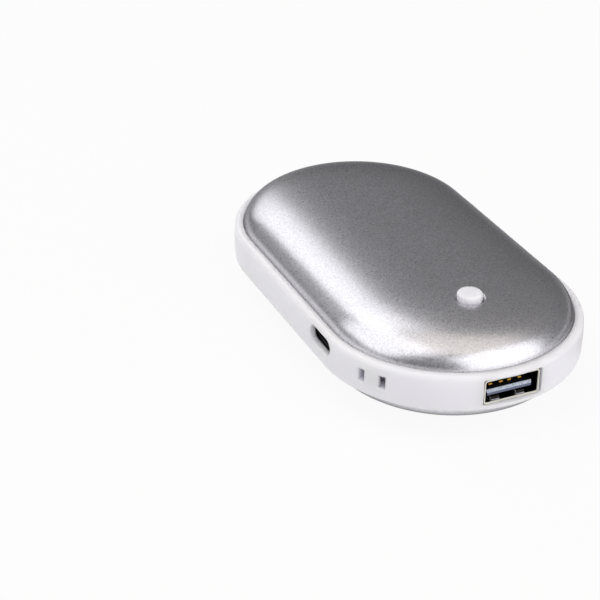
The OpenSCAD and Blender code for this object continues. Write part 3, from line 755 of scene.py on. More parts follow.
SAME_FINISH: dict[str, str] = {
    "shell_adhesive_bottom": "shell_adhesive_top",
    "board_screws": "tray_screws",
    "foam_strips_bottom": "foam_strips_top",
    "heater_film_bottom": "heater_film_top",
    "heater_tail_top": "heater_film_top",
    "heater_tail_bottom": "heater_film_top",
    "control_chip": "thermistor",
    "power_inductor": "inner_tray",
    "switch_plunger": "switch_body",
}


def dress(piece: bpy.types.Object, *materials: bpy.types.Material) -> None:
    """Gives a piece its materials, the first for every face that isn't marked.

    Args:
        piece: The piece to dress.
        *materials: Its materials in slot order.
    """
    slots = piece.data.materials
    for index, material in enumerate(materials):
        if index < len(slots):
            slots[index] = material
        else:
            slots.append(material)


def place_piece(piece: bpy.types.Object, body: str, slot: str, *nodes: str) -> None:
    """Joins a piece to the frame.

    Args:
        piece: The piece.
        body: The body that it moves with.
        slot: The record's material slot; not used.
        *nodes: The nodes that it stands for.
    """
    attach(piece, body)
    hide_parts(*nodes)
    log.info("%s: %d faces for %s", piece.name, len(piece.data.polygons), ", ".join(nodes))


# Windows


def flatten(points: list[Vector], direction: Vector, level: float) -> list[Vector]:
    """Moves points along a direction on to one plane.

    Args:
        points: The points to move.
        direction: Unit vector of the move and of the plane's normal.
        level: Distance of the plane from the origin.

    Returns:
        The moved points.
    """
    return [point + direction * (level - point.dot(direction)) for point in points]


@dataclass(frozen=True)
class Window:
    """A cut through a curved face, with its mouth rounded over or bevelled.

    outline gives the opening's outline grown by a width, and place turns the
    outline's two coordinates and a depth under the face into a point. The shares
    are parts of the mouth's radius, apart from knee_share, a part of the soft width
    that both ends of a bevel have.
    """

    name: str
    outline: Callable[[float], list[Point2]]
    place: Callable[[float, float, float], Vector]
    depth: float
    mouth_r: float
    bevel: float = 0.0
    soft_share: float = 0.4
    knee_share: float = 0.3
    flare_share: float = 1.9
    lift_share: float = 0.9

    def mouth(self) -> list[Point2]:
        """Gives the mouth's section, from the inside out.

        Returns:
            Pairs of the outline's growth and the depth under the face.
        """
        if self.bevel > 0.0:
            soft = self.mouth_r * self.soft_share
            knee = soft * self.knee_share
            return [(0.0, self.bevel + soft), (knee, self.bevel), (self.bevel - soft, soft),
                    (self.bevel, knee)]
        turns = [math.radians(angle) for angle in (0, 20, 40, 60, 78)]
        return [(self.mouth_r * (1 - math.cos(turn)), self.mouth_r * (1 - math.sin(turn))) for turn in turns]

    def cutter(self) -> bpy.types.Object:
        """Builds the solid that is cut away.

        Returns:
            The cutter's object.
        """
        flare = (self.bevel + self.mouth_r * self.flare_share, -self.mouth_r * self.lift_share)
        steps = [(0.0, self.depth), *self.mouth(), flare]
        loops = [[self.place(a, b, depth) for a, b in self.outline(grow)] for grow, depth in steps]
        inward = (self.place(0, 0, 1) - self.place(0, 0, 0)).normalized()
        deepest = max(point.dot(inward) for point in loops[0])
        outmost = min(point.dot(inward) for point in loops[-1])
        loops.insert(0, flatten(loops[0], inward, deepest + self.mouth_r))
        loops.append(flatten(loops[-1], inward, outmost - self.mouth_r))
        return new_object(self.name, lambda mesh: loft(mesh, loops))


# Push button


@dataclass
class PushButton:
    """The round button cap with its stem and flange, and the play that its hole leaves it."""

    centre_y: float
    low: float
    high: float
    cap_r: float = 2.75
    play: float = 0.1
    edge_r: float = 0.6
    crown: float = 0.05
    stem_r: float = 1.6
    flange_r: float = 4.0
    flange_t: float = 0.6
    flange_low: float = 20.75
    edge_share: float = 0.83
    crown_shares: tuple[float, ...] = (0.6, 0.35, 0.15)
    turn_steps: int = 96

    @classmethod
    def from_frame(cls) -> "PushButton":
        """Reads the button's place off its node.

        Returns:
            The button's sizes in millimetres.
        """
        low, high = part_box("button_cap")
        return cls(centre_y=(low.y + high.y) / 2 / MM, low=low.z / MM, high=high.z / MM,
                   flange_r=(high.x - low.x) / 2 / MM)

    def profile(self) -> list[Point2]:
        """Gives the cap's half profile from the stem's foot to the crown.

        Returns:
            Distances from the axis and heights over the floor.
        """
        flange_top = self.flange_low + self.flange_t
        edge = arc((self.cap_r - self.edge_r, self.high - self.crown - self.edge_r), self.edge_r, 0, 90, 8)
        crown = [(self.cap_r * share, self.high - self.crown * (share / self.edge_share) ** 2)
                 for share in self.crown_shares]
        return [(0.0, self.low), (self.stem_r, self.low), (self.stem_r, self.flange_low),
                (self.flange_r, self.flange_low), (self.flange_r, flange_top), (self.cap_r, flange_top),
                *edge, *crown, (0.0, self.high)]

    def fill(self, mesh: Mesh) -> None:
        """Spins the profile round the button's axis.

        Args:
            mesh: The mesh to fill.
        """
        verts = [mesh.verts.new((r, self.centre_y, z)) for r, z in self.profile()]
        edges = [mesh.edges.new(pair) for pair in zip(verts, verts[1:])]
        bmesh.ops.spin(mesh, geom=verts + edges, cent=(0, self.centre_y, 0), axis=(0, 0, 1),
                       angle=2 * math.pi, steps=self.turn_steps, use_merge=True, use_duplicate=False)
        bmesh.ops.remove_doubles(mesh, verts=mesh.verts, dist=MERGE)
        bmesh.ops.recalc_face_normals(mesh, faces=mesh.faces)

    def build(self) -> bpy.types.Object:
        """Builds the cap.

        Returns:
            The shaded cap.
        """
        piece = new_object("push_cap", self.fill)
        smooth(piece, angle=30)
        return piece


# Shells


@dataclass
class DomedShell:
    """One domed sheet shell, upper or lower. Only the upper one has the button's hole."""

    body: Body
    half: Half
    hole_r: float
    hole_y: float
    hole_depth: float = 3.0
    hole_mouth_r: float = 0.14
    hole_bevel: float = 0.55
    hole_steps: int = 48
    curve_steps: int = 44
    foot_r: float = 0.16

    def curve(self, inset: float) -> list[Point2]:
        """Gives the dome curve from the crown down to the foot.

        Args:
            inset: How far the curve lies inside the outer face.

        Returns:
            Distances from the centre line and heights over the floor.
        """
        half_w, rise = self.body.shell_half_w - inset, self.body.shell_rise - inset
        power = self.body.dome_power
        foot = self.body.dome_sink - self.body.foot_depth
        low = math.asin((foot / rise) ** (power / 2))
        points = []
        for i in range(self.curve_steps + 1):
            turn = math.pi / 2 + (low - math.pi / 2) * i / self.curve_steps
            across = half_w * max(0.0, math.cos(turn)) ** (2 / power)
            points.append((across if i else 0.0, self.body.dome_base + rise * math.sin(turn) ** (2 / power)))
        return points

    def section(self) -> list[Point2]:
        """Gives the shell's half section, open at the centre line.

        Returns:
            Distances from the centre line and heights over the floor.
        """
        outer, inner = self.curve(0.0), self.curve(self.body.shell_t)
        outer_x, foot_z = outer[-1]
        foot = arc((outer_x - self.foot_r, foot_z + self.foot_r), self.foot_r, 0, -90, 3)
        return outer[:-1] + foot + [(inner[-1][0], foot_z)] + inner[-2::-1]

    def fill(self, mesh: Mesh) -> None:
        """Sweeps the shell's section, turned over for the lower half.

        Args:
            mesh: The mesh to fill.
        """
        sweep_round(mesh, self.section(), False, self.body)
        if self.half is Half.LOWER:
            bmesh.ops.scale(mesh, vec=(1, 1, self.half.value), verts=mesh.verts)
            bmesh.ops.translate(mesh, vec=(0, 0, 2 * self.body.mid_z), verts=mesh.verts)
            bmesh.ops.recalc_face_normals(mesh, faces=mesh.faces)

    def hole_place(self, a: float, b: float, depth: float) -> Vector:
        """Gives a point under the dome, straight down from a place beside the hole's centre."""
        y = self.hole_y + b
        return Vector((a, y, self.body.dome_height(a, y) - depth))

    def hole_outline(self, grow: float) -> list[Point2]:
        """Gives the hole's outline grown by a width."""
        return arc((0, 0), self.hole_r + grow, 0, 360 - 360 / self.hole_steps, self.hole_steps - 1)

    def build(self) -> bpy.types.Object:
        """Builds the shell.

        Returns:
            The shaded shell.
        """
        if self.half is Half.LOWER:
            piece = new_object("lower_dome", self.fill)
            smooth(piece)
            return piece
        piece = new_object("upper_dome", self.fill)
        hole = Window("button_hole", self.hole_outline, self.hole_place, self.hole_depth,
                      self.hole_mouth_r, self.hole_bevel)
        cut_out(piece, [hole.cutter()])
        smooth(piece, weighted=True)
        return piece


# Ring frame


@dataclass
class RingFrame:
    """The moulded ring with the windows for both sockets and the cord slots.

    The lip stands lip_press closer to the shells' feet than in the part, so that the gap stays a thin line,
    and the outlet's window stands outlet_shift beside the middle, as in the photograph.
    """

    body: Body
    lip_r: float = 0.07
    lip_press: float = 0.1
    outlet_w: float = 13.9
    outlet_h: float = 6.2
    outlet_shift: float = 0.1
    outlet_lift: float = 0.1
    outlet_corner: float = 0.5
    outlet_depth: float = 6.0
    outlet_mouth_r: float = 0.14
    wall_reach: float = 3.3
    inlet_w: float = 9.95
    inlet_h: float = 3.75
    inlet_y: float = -20.05
    inlet_z: float = 12.7
    inlet_wall: float = 1.45
    inlet_mouth_r: float = 0.3
    pocket_side: float = 0.55
    pocket_low: float = 0.5
    pocket_depth: float = 4.4
    pocket_shade_play: float = 0.1
    slot_w: float = 1.7
    slot_h: float = 3.0
    slot_corner: float = 0.12
    slot_mouth_r: float = 0.16
    slot_pitch: float = 5.2
    slot_lift: float = 0.3
    slot_angle: float = 60.0
    bar_t: float = 0.9
    channel_t: float = 2.0
    channel_corner: float = 0.1

    def section(self) -> list[Point2]:
        """Gives the ring's closed half section, with rounded outer edges and lips.

        Returns:
            Distances from the centre line and heights over the floor.
        """
        body = self.body
        flank = body.ring_h / 2 - body.edge_r
        edge_x = body.wall_at(flank) - body.edge_r
        upper = arc((edge_x, flank), body.edge_r, 0, 90, 12)
        lip_x = body.lip_half_w - self.lip_press
        lip = arc((lip_x + self.lip_r, body.ring_h / 2 - self.lip_r), self.lip_r, 90, 180, 4)
        wall = [(body.wall_at(z), z) for z in (flank * i / 8 for i in range(-7, 8))]
        inner = [(lip_x, body.ledge_z), (body.ring_half_w, body.ledge_z)]
        top = upper + lip + inner
        low = [(x, -z) for x, z in reversed(top)]
        return [(x, z + body.mid_z) for x, z in low + wall + top]

    def outlet_place(self, across: float, up: float, depth: float) -> Vector:
        """Gives a point under the front wall, cut straight back along Y.

        Args:
            across: Place across the window.
            up: Height over the window's middle.
            depth: Depth under the wall.

        Returns:
            The point.
        """
        across += self.outlet_shift
        up += self.outlet_lift
        wall = self.body.wall_at(max(-self.wall_reach, min(self.wall_reach, up)))
        front = -self.body.straight / 2 - math.sqrt(wall ** 2 - across ** 2)
        return Vector((across, front + depth, self.body.mid_z + up))

    def inlet_place(self, along: float, up: float, depth: float) -> Vector:
        """Gives a point under the left wall, cut straight in along X.

        Args:
            along: Place along the window.
            up: Height over the window's middle.
            depth: Depth under the wall.

        Returns:
            The point.
        """
        y = self.inlet_y + along
        wall = self.body.wall_at(self.inlet_z + up - self.body.mid_z)
        off = max(0.0, abs(y) - self.body.straight / 2)
        return Vector((depth - math.sqrt(wall ** 2 - off ** 2), y, self.inlet_z + up))

    def slot_place(self, across: float, up: float, depth: float) -> Vector:
        """Gives a point under the wall at the cord slots, cut towards the end's centre.

        Args:
            across: Place across the pair of slots.
            up: Height over the slots' middle.
            depth: Depth under the wall.

        Returns:
            The point.
        """
        turn = math.radians(-90 - self.slot_angle)
        out = Vector((math.cos(turn), math.sin(turn), 0))
        side = Vector((-math.sin(turn), math.cos(turn), 0))
        wall = self.body.wall_at(self.slot_lift + up)
        base = Vector((0, -self.body.straight / 2, self.body.mid_z + self.slot_lift + up))
        return base + out * (math.sqrt(wall ** 2 - across ** 2) - depth) + side * across

    def outlet_outline(self, grow: float) -> list[Point2]:
        """Gives the outlet window's outline grown by a width."""
        return rounded_box(self.outlet_w + 2 * grow, self.outlet_h + 2 * grow,
                           self.outlet_corner + grow, 6, 16)

    def inlet_outline(self, grow: float) -> list[Point2]:
        """Gives the inlet window's outline, with round ends, grown by a width."""
        return rounded_box(self.inlet_w + 2 * grow, self.inlet_h + 2 * grow,
                           self.inlet_h / 2 + grow - HAIR, 12, 8)

    def slot_outline(self, middle: float, grow: float) -> list[Point2]:
        """Gives the outline of the cord slot at a place, grown by a width."""
        outline = rounded_box(self.slot_w + 2 * grow, self.slot_h + 2 * grow, self.slot_corner + grow, 4)
        return [(a + middle, b) for a, b in outline]

    def windows(self) -> list[Window]:
        """Gives the ring's windows and slots.

        Returns:
            The windows in the order in which they are cut.
        """
        found = [
            Window("outlet_window", self.outlet_outline, self.outlet_place, self.outlet_depth,
                   self.outlet_mouth_r),
            Window("inlet_window", self.inlet_outline, self.inlet_place, self.pocket_depth,
                   self.inlet_mouth_r),
        ]
        for side in (-1, 1):
            middle = side * self.slot_pitch / 2
            found.append(Window(
                f"cord_slot_{side + 1}", lambda grow, middle=middle: self.slot_outline(middle, grow),
                self.slot_place, self.bar_t + self.channel_t, self.slot_mouth_r))
        return found

    def channel(self) -> bpy.types.Object:
        """Builds the cutter for the channel behind the bar between the slots.

        Returns:
            The cutter's object.
        """
        outline = rounded_box(self.slot_pitch, self.slot_h - 2 * HAIR, self.channel_corner, 3)
        return new_object("cord_channel", lambda mesh: prism(
            mesh, outline, self.slot_place, self.bar_t, self.bar_t + self.channel_t - HAIR))

    def pocket(self) -> bpy.types.Object:
        """Builds the cutter for the wider pocket behind the inlet's opening.

        Returns:
            The cutter's object.
        """
        height = self.inlet_h + self.pocket_low
        outline = rounded_box(self.inlet_w + 2 * self.pocket_side, height, height / 2 - HAIR, 12, 8)
        face = Vector((-self.body.width / 2, self.inlet_y, self.inlet_z - self.pocket_low / 2))
        return new_object("inlet_pocket", lambda mesh: prism(
            mesh, outline, lambda a, b, depth: face + Vector((depth, a, b)), self.inlet_wall,
            self.pocket_depth))

    def in_pocket(self, face: bpy.types.MeshPolygon) -> bool:
        """Tells whether a face lies in the inlet's pocket, whose faces take a near-black painted shade.

        Args:
            face: A face of the ring, in metres.

        Returns:
            Whether its centre lies in the pocket.
        """
        place = face.center / MM - Vector((-self.body.width / 2, self.inlet_y, self.inlet_z))
        half_h = self.inlet_h / 2 + self.pocket_shade_play
        return (self.inlet_wall + 2 * HAIR < place.x < self.pocket_depth + self.pocket_shade_play / 2
                and abs(place.y) < self.inlet_w / 2 + self.pocket_side + self.pocket_shade_play
                and -half_h - self.pocket_low < place.z < half_h)

    def build(self) -> bpy.types.Object:
        """Builds the ring with its windows.

        Returns:
            The shaded ring.
        """
        piece = new_object("ring_moulding", lambda mesh: sweep_round(mesh, self.section(), True, self.body))
        cut_out(piece, [window.cutter() for window in self.windows()] + [self.channel(), self.pocket()])
        # The pocket's faces take the second slot: near-black painted shade of the deep recess
        mark_faces(piece, 1, self.in_pocket)
        smooth(piece, weighted=True)
        return piece


# Outlet socket


@dataclass
class OutletSocket:
    """The outlet: a sheet shell with spring leaves, a tongue and four contacts.

    The leaves stand spring_shift beside the middle, as in the photograph. lip_step is the last step of the
    mouth's roll, inwards and back, and pin_tip gives a contact's front as places behind its end and rises.
    """

    face_y: float
    mid_z: float
    width: float = 13.1
    height: float = 5.7
    depth: float = 14.0
    sheet_t: float = 0.3
    corner_r: float = 0.7
    inner_corner_r: float = 0.15
    lip_l: float = 0.55
    lip_grow: float = 0.14
    lip_step: Point2 = (0.08, 0.03)
    lip_share: float = 0.4
    rim_l: float = 0.4
    rim_share: float = 0.8
    spring_x: float = 3.0
    spring_shift: float = -0.5
    spring_w: float = 2.3
    spring_l: float = 5.0
    spring_rise: float = 0.65
    spring_tip: float = 0.1
    spring_front: float = 0.7
    leaf_t: float = 0.26
    leaf_corner: float = 0.08
    leaf_tip_share: float = 0.82
    leaf_crest_share: float = 0.14
    gap_side: float = 0.15
    gap_front: float = 0.3
    gap_back: float = -0.1
    gap_corner: float = 0.3
    tongue_w: float = 10.8
    tongue_h: float = 1.5
    tongue_lift: float = 0.8
    tongue_front: float = 1.1
    tongue_corner: float = 0.08
    nose_l: float = 0.4
    nose_high: float = 0.6
    nose_low: float = 0.3
    nose_bevel: float = 0.05
    block_l: float = 3.6
    block_play: float = 0.05
    block_corner: float = 0.4
    pin_w: float = 0.85
    pin_t: float = 0.15
    pin_corner: float = 0.06
    pin_front: float = 2.9
    pin_rise: float = 0.02
    pin_places: tuple[float, ...] = (-3.5, -1.0, 1.0, 3.5)
    pin_tip: tuple[Point2, ...] = ((0.0, -0.1), (0.12, 0.12), (0.5, 0.22), (1.2, 0.14))
    pin_tip_l: float = 2.2

    @classmethod
    def from_frame(cls) -> "OutletSocket":
        """Reads the socket's face and height off its shell's node.

        Returns:
            The socket's sizes in millimetres.
        """
        low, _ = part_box("outlet_shell")
        return cls(face_y=low.y / MM, mid_z=low.z / MM + cls.height / 2)

    @property
    def tongue_low(self) -> float:
        """Height of the tongue's underside over the socket's middle."""
        return -self.height / 2 + self.sheet_t + self.tongue_lift

    @property
    def leaf_spots(self) -> list[tuple[int, int, float]]:
        """Side, level and middle of each spring leaf."""
        return [(side, level, side * self.spring_x + self.spring_shift)
                for side in (-1, 1) for level in (-1, 1)]

    def place(self, across: float, up: float, depth: float) -> Vector:
        """Gives a point from a place in the socket's face and a depth behind it."""
        return Vector((across, self.face_y + depth, self.mid_z + up))

    def box_loop(self, middle: Point3, width: float, height: float, corner: float,
                 steps: int = 3) -> list[Vector]:
        """Gives a loop round a box with rounded corners, parallel to the socket's face.

        Args:
            middle: Place across, height over the socket's middle and depth behind its face.
            width: Full width.
            height: Full height.
            corner: Corner radius.
            steps: Steps in each corner.

        Returns:
            The loop's points.
        """
        across, up, depth = middle
        return [self.place(across + a, up + b, depth) for a, b in rounded_box(width, height, corner, steps)]

    def shell_loops(self) -> list[list[Vector]]:
        """Gives the loops of the sheet shell, from its back over the mouth to its back inside.

        Returns:
            The loops' points.
        """
        t, round_r = self.sheet_t, self.sheet_t / 2
        step_in, step_back = self.lip_step
        roll = [(x - round_r, round_r - z) for x, z in arc((0, 0), round_r, 0, 90, 3)]
        steps = [(0.0, self.depth), *roll, (-round_r - step_in, step_back),
                 (self.lip_grow - t, self.lip_l * self.lip_share), (-t * self.rim_share, self.rim_l),
                 (-t, self.lip_l), (-t, self.depth)]
        return [self.box_loop((0, 0, depth), self.width + 2 * grow, self.height + 2 * grow,
                              max(self.inner_corner_r, self.corner_r + grow), 8) for grow, depth in steps]

    def fill_shell(self, mesh: Mesh) -> None:
        """Builds the sheet shell's skin and closes it at the back.

        Args:
            mesh: The mesh to fill.
        """
        loft(mesh, self.shell_loops(), caps=False)
        bmesh.ops.bridge_loops(mesh, edges=[edge for edge in mesh.edges if edge.is_boundary])
        close_skin(mesh)

    def leaf_gaps(self) -> list[bpy.types.Object]:
        """Builds the cutters for the openings round the spring leaves.

        Returns:
            The cutters' objects.
        """
        length = self.spring_l + self.gap_front + self.gap_back
        outline = rounded_box(self.spring_w + 2 * self.gap_side, length, self.gap_corner, 3)
        reach = 2 * self.sheet_t
        gaps = []
        for side, level, middle in self.leaf_spots:
            depth = self.spring_front - self.gap_front + length / 2
            centre = self.place(middle, level * self.height / 2, depth)
            gaps.append(new_object(f"leaf_gap_{side + 1}_{level + 1}", lambda mesh, centre=centre: prism(
                mesh, outline, lambda a, b, depth: centre + Vector((a, b, depth)), -reach, reach)))
        return gaps

    def build_shell(self) -> bpy.types.Object:
        """Builds the sheet shell with its leaf openings cut out.

        Returns:
            The shaded shell, with its rim marked for the second material, a cream-white painted highlight.
        """
        piece = new_object("outlet_sheet", self.fill_shell)
        cut_out(piece, self.leaf_gaps())
        # The rim's faces take the cream-white painted highlight
        mark_faces(piece, 1, lambda face: face.center.y < (self.face_y + self.rim_l) * MM)
        smooth(piece, angle=40)
        return piece

    def leaf_rise(self, share: float) -> float:
        """Gives the height of a leaf's middle line at a share of its length.

        Args:
            share: The share, counted from the leaf's tip.

        Returns:
            The height over the sheet.
        """
        crest = self.leaf_crest_share
        tip = self.spring_tip / self.spring_rise
        if share < crest:
            return self.spring_rise * (tip + (1 - tip) * math.sin(math.pi / 2 * share / crest))
        return self.spring_rise * (0.5 + 0.5 * math.cos(math.pi * (share - crest) / (1 - crest)))

    def fill_leaves(self, mesh: Mesh) -> None:
        """Builds the four leaves, finely stepped at their tips.

        Args:
            mesh: The mesh to fill.
        """
        tip_shares = (0.0, 0.03, 0.06, 0.09, 0.12, 0.14, 0.17)
        leaf_shares = (0.2, 0.3, 0.4, 0.5, 0.6, 0.7, 0.8, 0.9, 1.0)
        for _, level, middle in self.leaf_spots:
            loops = []
            for share in tip_shares + leaf_shares:
                taper = self.leaf_tip_share + (1 - self.leaf_tip_share) * min(1.0, 2 * share)
                up = level * (self.height / 2 - self.sheet_t - self.leaf_rise(share) + self.leaf_t / 2)
                loops.append(self.box_loop((middle, up, self.spring_front + share * self.spring_l),
                                           self.spring_w * taper, self.leaf_t, self.leaf_corner))
            loft(mesh, loops)
        close_skin(mesh)

    def build_leaves(self) -> bpy.types.Object:
        """Builds the four spring leaves, tapered towards their tips.

        Returns:
            The shaded leaves, with their cut edges marked for the second material, a lighter painted
            highlight.
        """
        piece = new_object("outlet_leaves", self.fill_leaves)
        front = (self.face_y + self.spring_front + 2 * HAIR) * MM
        # Front and side faces take the lighter painted highlight
        mark_faces(piece, 1, lambda face: face.center.y < front or abs(face.normal.x) > 0.5)
        smooth(piece, angle=40)
        return piece

    def fill_tongue(self, mesh: Mesh) -> None:
        """Builds the tongue with its chamfered nose, and the block behind it.

        Args:
            mesh: The mesh to fill.
        """
        bevel = self.nose_bevel
        back_end = self.depth - self.block_l - self.tongue_front
        loops = []
        for back, low_in, high_in in (
                (0.0, self.nose_low, self.nose_high),
                (bevel, self.nose_low - bevel, self.nose_high - 1.5 * bevel),
                (self.nose_l - 3 * bevel, bevel, 3 * bevel),
                (self.nose_l, 0.0, 0.0),
                (back_end, 0.0, 0.0)):
            low, high = self.tongue_low + low_in, self.tongue_low + self.tongue_h - high_in
            loops.append(self.box_loop((0, (low + high) / 2, self.tongue_front + back),
                                       self.tongue_w - low_in, high - low, self.tongue_corner))
        loft(mesh, loops)
        wall = self.sheet_t + self.block_play
        block = rounded_box(self.width - 2 * wall, self.height - 2 * wall, self.block_corner, 5)
        prism(mesh, block, self.place, self.depth - self.block_l, self.depth - 2 * self.pin_t)
        close_skin(mesh)

    def build_tongue(self) -> bpy.types.Object:
        """Builds the tongue and its block.

        Returns:
            The shaded tongue, with its front marked for its own blue-grey, its nose's upward slope for a
            lighter painted highlight, and the rest left near-black as painted shade.
        """
        piece = new_object("outlet_tongue_moulding", self.fill_tongue)
        nose_y = (self.face_y + self.tongue_front + self.nose_l) * MM
        # Upward faces of the nose take painted highlight, front faces the tongue's own blue-grey, the rest
        # near-black painted shade
        mark_faces(piece, 2, lambda face: face.center.y < nose_y and face.normal.z > 0.3)
        mark_faces(piece, 1, lambda face: face.center.y < nose_y and face.normal.y < -0.9)
        smooth(piece, angle=20)
        return piece

    def fill_contacts(self, mesh: Mesh) -> None:
        """Builds the four contacts with their raised tips.

        Args:
            mesh: The mesh to fill.
        """
        base = self.tongue_low + self.tongue_h + self.pin_t / 2
        flat = [(back, self.pin_rise) for back in (self.pin_tip_l, self.depth - self.pin_front)]
        for x in self.pin_places:
            loft(mesh, [self.box_loop((x, base + rise, self.pin_front + back), self.pin_w, self.pin_t,
                                      self.pin_corner) for back, rise in (*self.pin_tip, *flat)])
        close_skin(mesh)

    def build_contacts(self) -> bpy.types.Object:
        """Builds the contacts.

        Returns:
            The shaded contacts.
        """
        piece = new_object("outlet_pins", self.fill_contacts)
        smooth(piece, angle=40)
        return piece


# Studio


@dataclass(frozen=True)
class SoftBox:
    """A rectangular lamp aimed at the warmer.

    turn is the direction of the lamp from +Y towards +X and lift its height, in
    degrees. span and tall are its sizes in metres, and level its brightness.
    """

    name: str
    turn: float
    lift: float
    distance: float
    span: float
    tall: float
    level: float
    colour: Colour = (1.0, 1.0, 1.0)

    def build(self) -> None:
        """Builds the lamp."""
        lamp = bpy.data.lights.new(self.name, "AREA")
        lamp.shape = "RECTANGLE"
        lamp.size = self.span
        lamp.size_y = self.tall
        lamp.energy = self.level * math.pi * self.span * self.tall
        lamp.color = self.colour
        holder = bpy.data.objects.new(self.name, lamp)
        turn, lift = math.radians(self.turn), math.radians(self.lift)
        away = Vector((math.sin(turn) * math.cos(lift), math.cos(turn) * math.cos(lift), math.sin(lift)))
        holder.location = away * self.distance
        holder.rotation_mode = "QUATERNION"
        holder.rotation_quaternion = away.to_track_quat("Z", "Y")
        holder.visible_camera = False
        bpy.context.scene.collection.objects.link(holder)


@dataclass
class Studio:
    """Floor, cards, lamps, world and camera.

    Only glossy rays see the cards, so they show where something mirrors them and nowhere else. The front
    card stands in an arc round the warmer and gives the metal's foot its dark edge. The side card lies at
    the right and keeps the floor's white out of the foot there.
    """

    target: Vector = field(default_factory=lambda: Vector((-0.024071, 0.00317, 0.009144)))
    turn: float = -24.331
    lift: float = 29.73
    roll: float = 0.52
    distance: float = 0.397985
    lens: float = 104.463
    sensor_w: float = 36.0
    floor_r: float = 2.5
    floor_tone: float = 0.8
    floor_white_share: float = 0.9
    front_card_r: float = 0.5
    front_card_h: float = 0.1
    front_card_from: float = 194.0
    front_card_to: float = 252.0
    front_card_tone: float = 0.03
    side_card_size: Point2 = (0.17, 0.1)
    side_card_place: Point3 = (0.122, -0.03, 0.0004)
    side_card_tone: float = 0.2
    world_colour: Colour = (0.22, 0.22, 0.225)
    boxes: tuple[SoftBox, ...] = (
        SoftBox("key_box", -77.0, 48.0, 0.75, 0.94, 0.87, 1.22),
        SoftBox("low_box", -92.0, 15.0, 0.75, 0.42, 0.15, 0.8),
        SoftBox("back_box", -4.0, 38.0, 0.78, 0.37, 0.77, 1.38),
        SoftBox("front_box", 156.5, 22.3, 0.73, 1.02, 1.12, 1.45),
        SoftBox("top_box", 132.0, 81.0, 0.8, 0.68, 0.71, 0.78, (1.0, 0.92, 0.83)),
    )

    def build(self) -> None:
        """Builds the whole studio."""
        self.build_floor()
        self.build_card("front_card", self.fill_front_card, self.front_card_tone)
        self.build_card("side_card", self.fill_side_card, self.side_card_tone)
        for box in self.boxes:
            box.build()
        self.build_world()
        self.build_camera()

    def build_floor(self) -> None:
        """Builds a white floor that keeps a soft shadow."""
        floor = new_object("studio_floor", lambda mesh: bmesh.ops.create_circle(
            mesh, cap_ends=True, segments=96, radius=self.floor_r), unit=1.0)
        sheet = NodeSheet("floor_white", "ShaderNodeMixShader")
        matte = sheet.add("ShaderNodeBsdfDiffuse")
        set_inputs(matte, {"Color": grey(self.floor_tone)})
        glow = sheet.add("ShaderNodeEmission")
        set_inputs(glow, {"Color": grey(1.0), "Strength": 1.0})
        sheet.link(self.seen_share(sheet), 0, sheet.shader, "Fac")
        sheet.link(matte, 0, sheet.shader, 1)
        sheet.link(glow, 0, sheet.shader, 2)
        floor.data.materials.append(sheet.material)

    def seen_share(self, sheet: NodeSheet) -> bpy.types.Node:
        """Adds nodes that give camera, glossy and transmission rays the floor's share of white.

        Args:
            sheet: The sheet to add to.

        Returns:
            A node whose output is the share for such rays and zero for the others.
        """
        path = sheet.add("ShaderNodeLightPath")
        first = sheet.add("ShaderNodeMath", operation="MAXIMUM")
        second = sheet.add("ShaderNodeMath", operation="MAXIMUM")
        share = sheet.add("ShaderNodeMath", operation="MULTIPLY")
        sheet.link(path, "Is Camera Ray", first, 0)
        sheet.link(path, "Is Glossy Ray", first, 1)
        sheet.link(first, 0, second, 0)
        sheet.link(path, "Is Transmission Ray", second, 1)
        sheet.link(second, 0, share, 0)
        share.inputs[1].default_value = self.floor_white_share
        return share

    def fill_front_card(self, mesh: Mesh) -> None:
        """Draws the front card's foot line and raises it.

        Args:
            mesh: The mesh to fill.
        """
        line = [mesh.verts.new((x, y, 0.0)) for x, y in arc(
            (0, 0), self.front_card_r, self.front_card_from, self.front_card_to, 30)]
        edges = [mesh.edges.new(pair) for pair in zip(line, line[1:])]
        made = bmesh.ops.extrude_edge_only(mesh, edges=edges)["geom"]
        raised = [item for item in made if isinstance(item, bmesh.types.BMVert)]
        bmesh.ops.translate(mesh, vec=(0, 0, self.front_card_h), verts=raised)

    def fill_side_card(self, mesh: Mesh) -> None:
        """Lays the side card just over the floor.

        Args:
            mesh: The mesh to fill.
        """
        bmesh.ops.create_grid(mesh, x_segments=1, y_segments=1, size=0.5)
        bmesh.ops.scale(mesh, vec=(*self.side_card_size, 1.0), verts=mesh.verts)
        bmesh.ops.translate(mesh, vec=self.side_card_place, verts=mesh.verts)

    def build_card(self, name: str, fill: Callable[[Mesh], None], tone: float) -> None:
        """Builds a matt card that only glossy rays see.

        Args:
            name: The card's name.
            fill: Fills its mesh in metres.
            tone: Its grey.
        """
        card = new_object(name, fill, unit=1.0)
        sheet = NodeSheet(name)
        set_inputs(sheet.shader, {"Base Color": grey(tone), "Roughness": 1.0})
        card.data.materials.append(sheet.material)
        card.visible_camera = False
        card.visible_diffuse = False
        card.visible_shadow = False

    def build_world(self) -> None:
        """Builds a plain dim world, which the metal's dark parts mirror."""
        world = bpy.data.worlds.new("studio")
        world.use_nodes = True
        bpy.context.scene.world = world
        tree = world.node_tree
        tree.nodes.clear()
        output = tree.nodes.new("ShaderNodeOutputWorld")
        back = tree.nodes.new("ShaderNodeBackground")
        set_inputs(back, {"Color": (*self.world_colour, 1.0)})
        tree.links.new(back.outputs[0], output.inputs["Surface"])

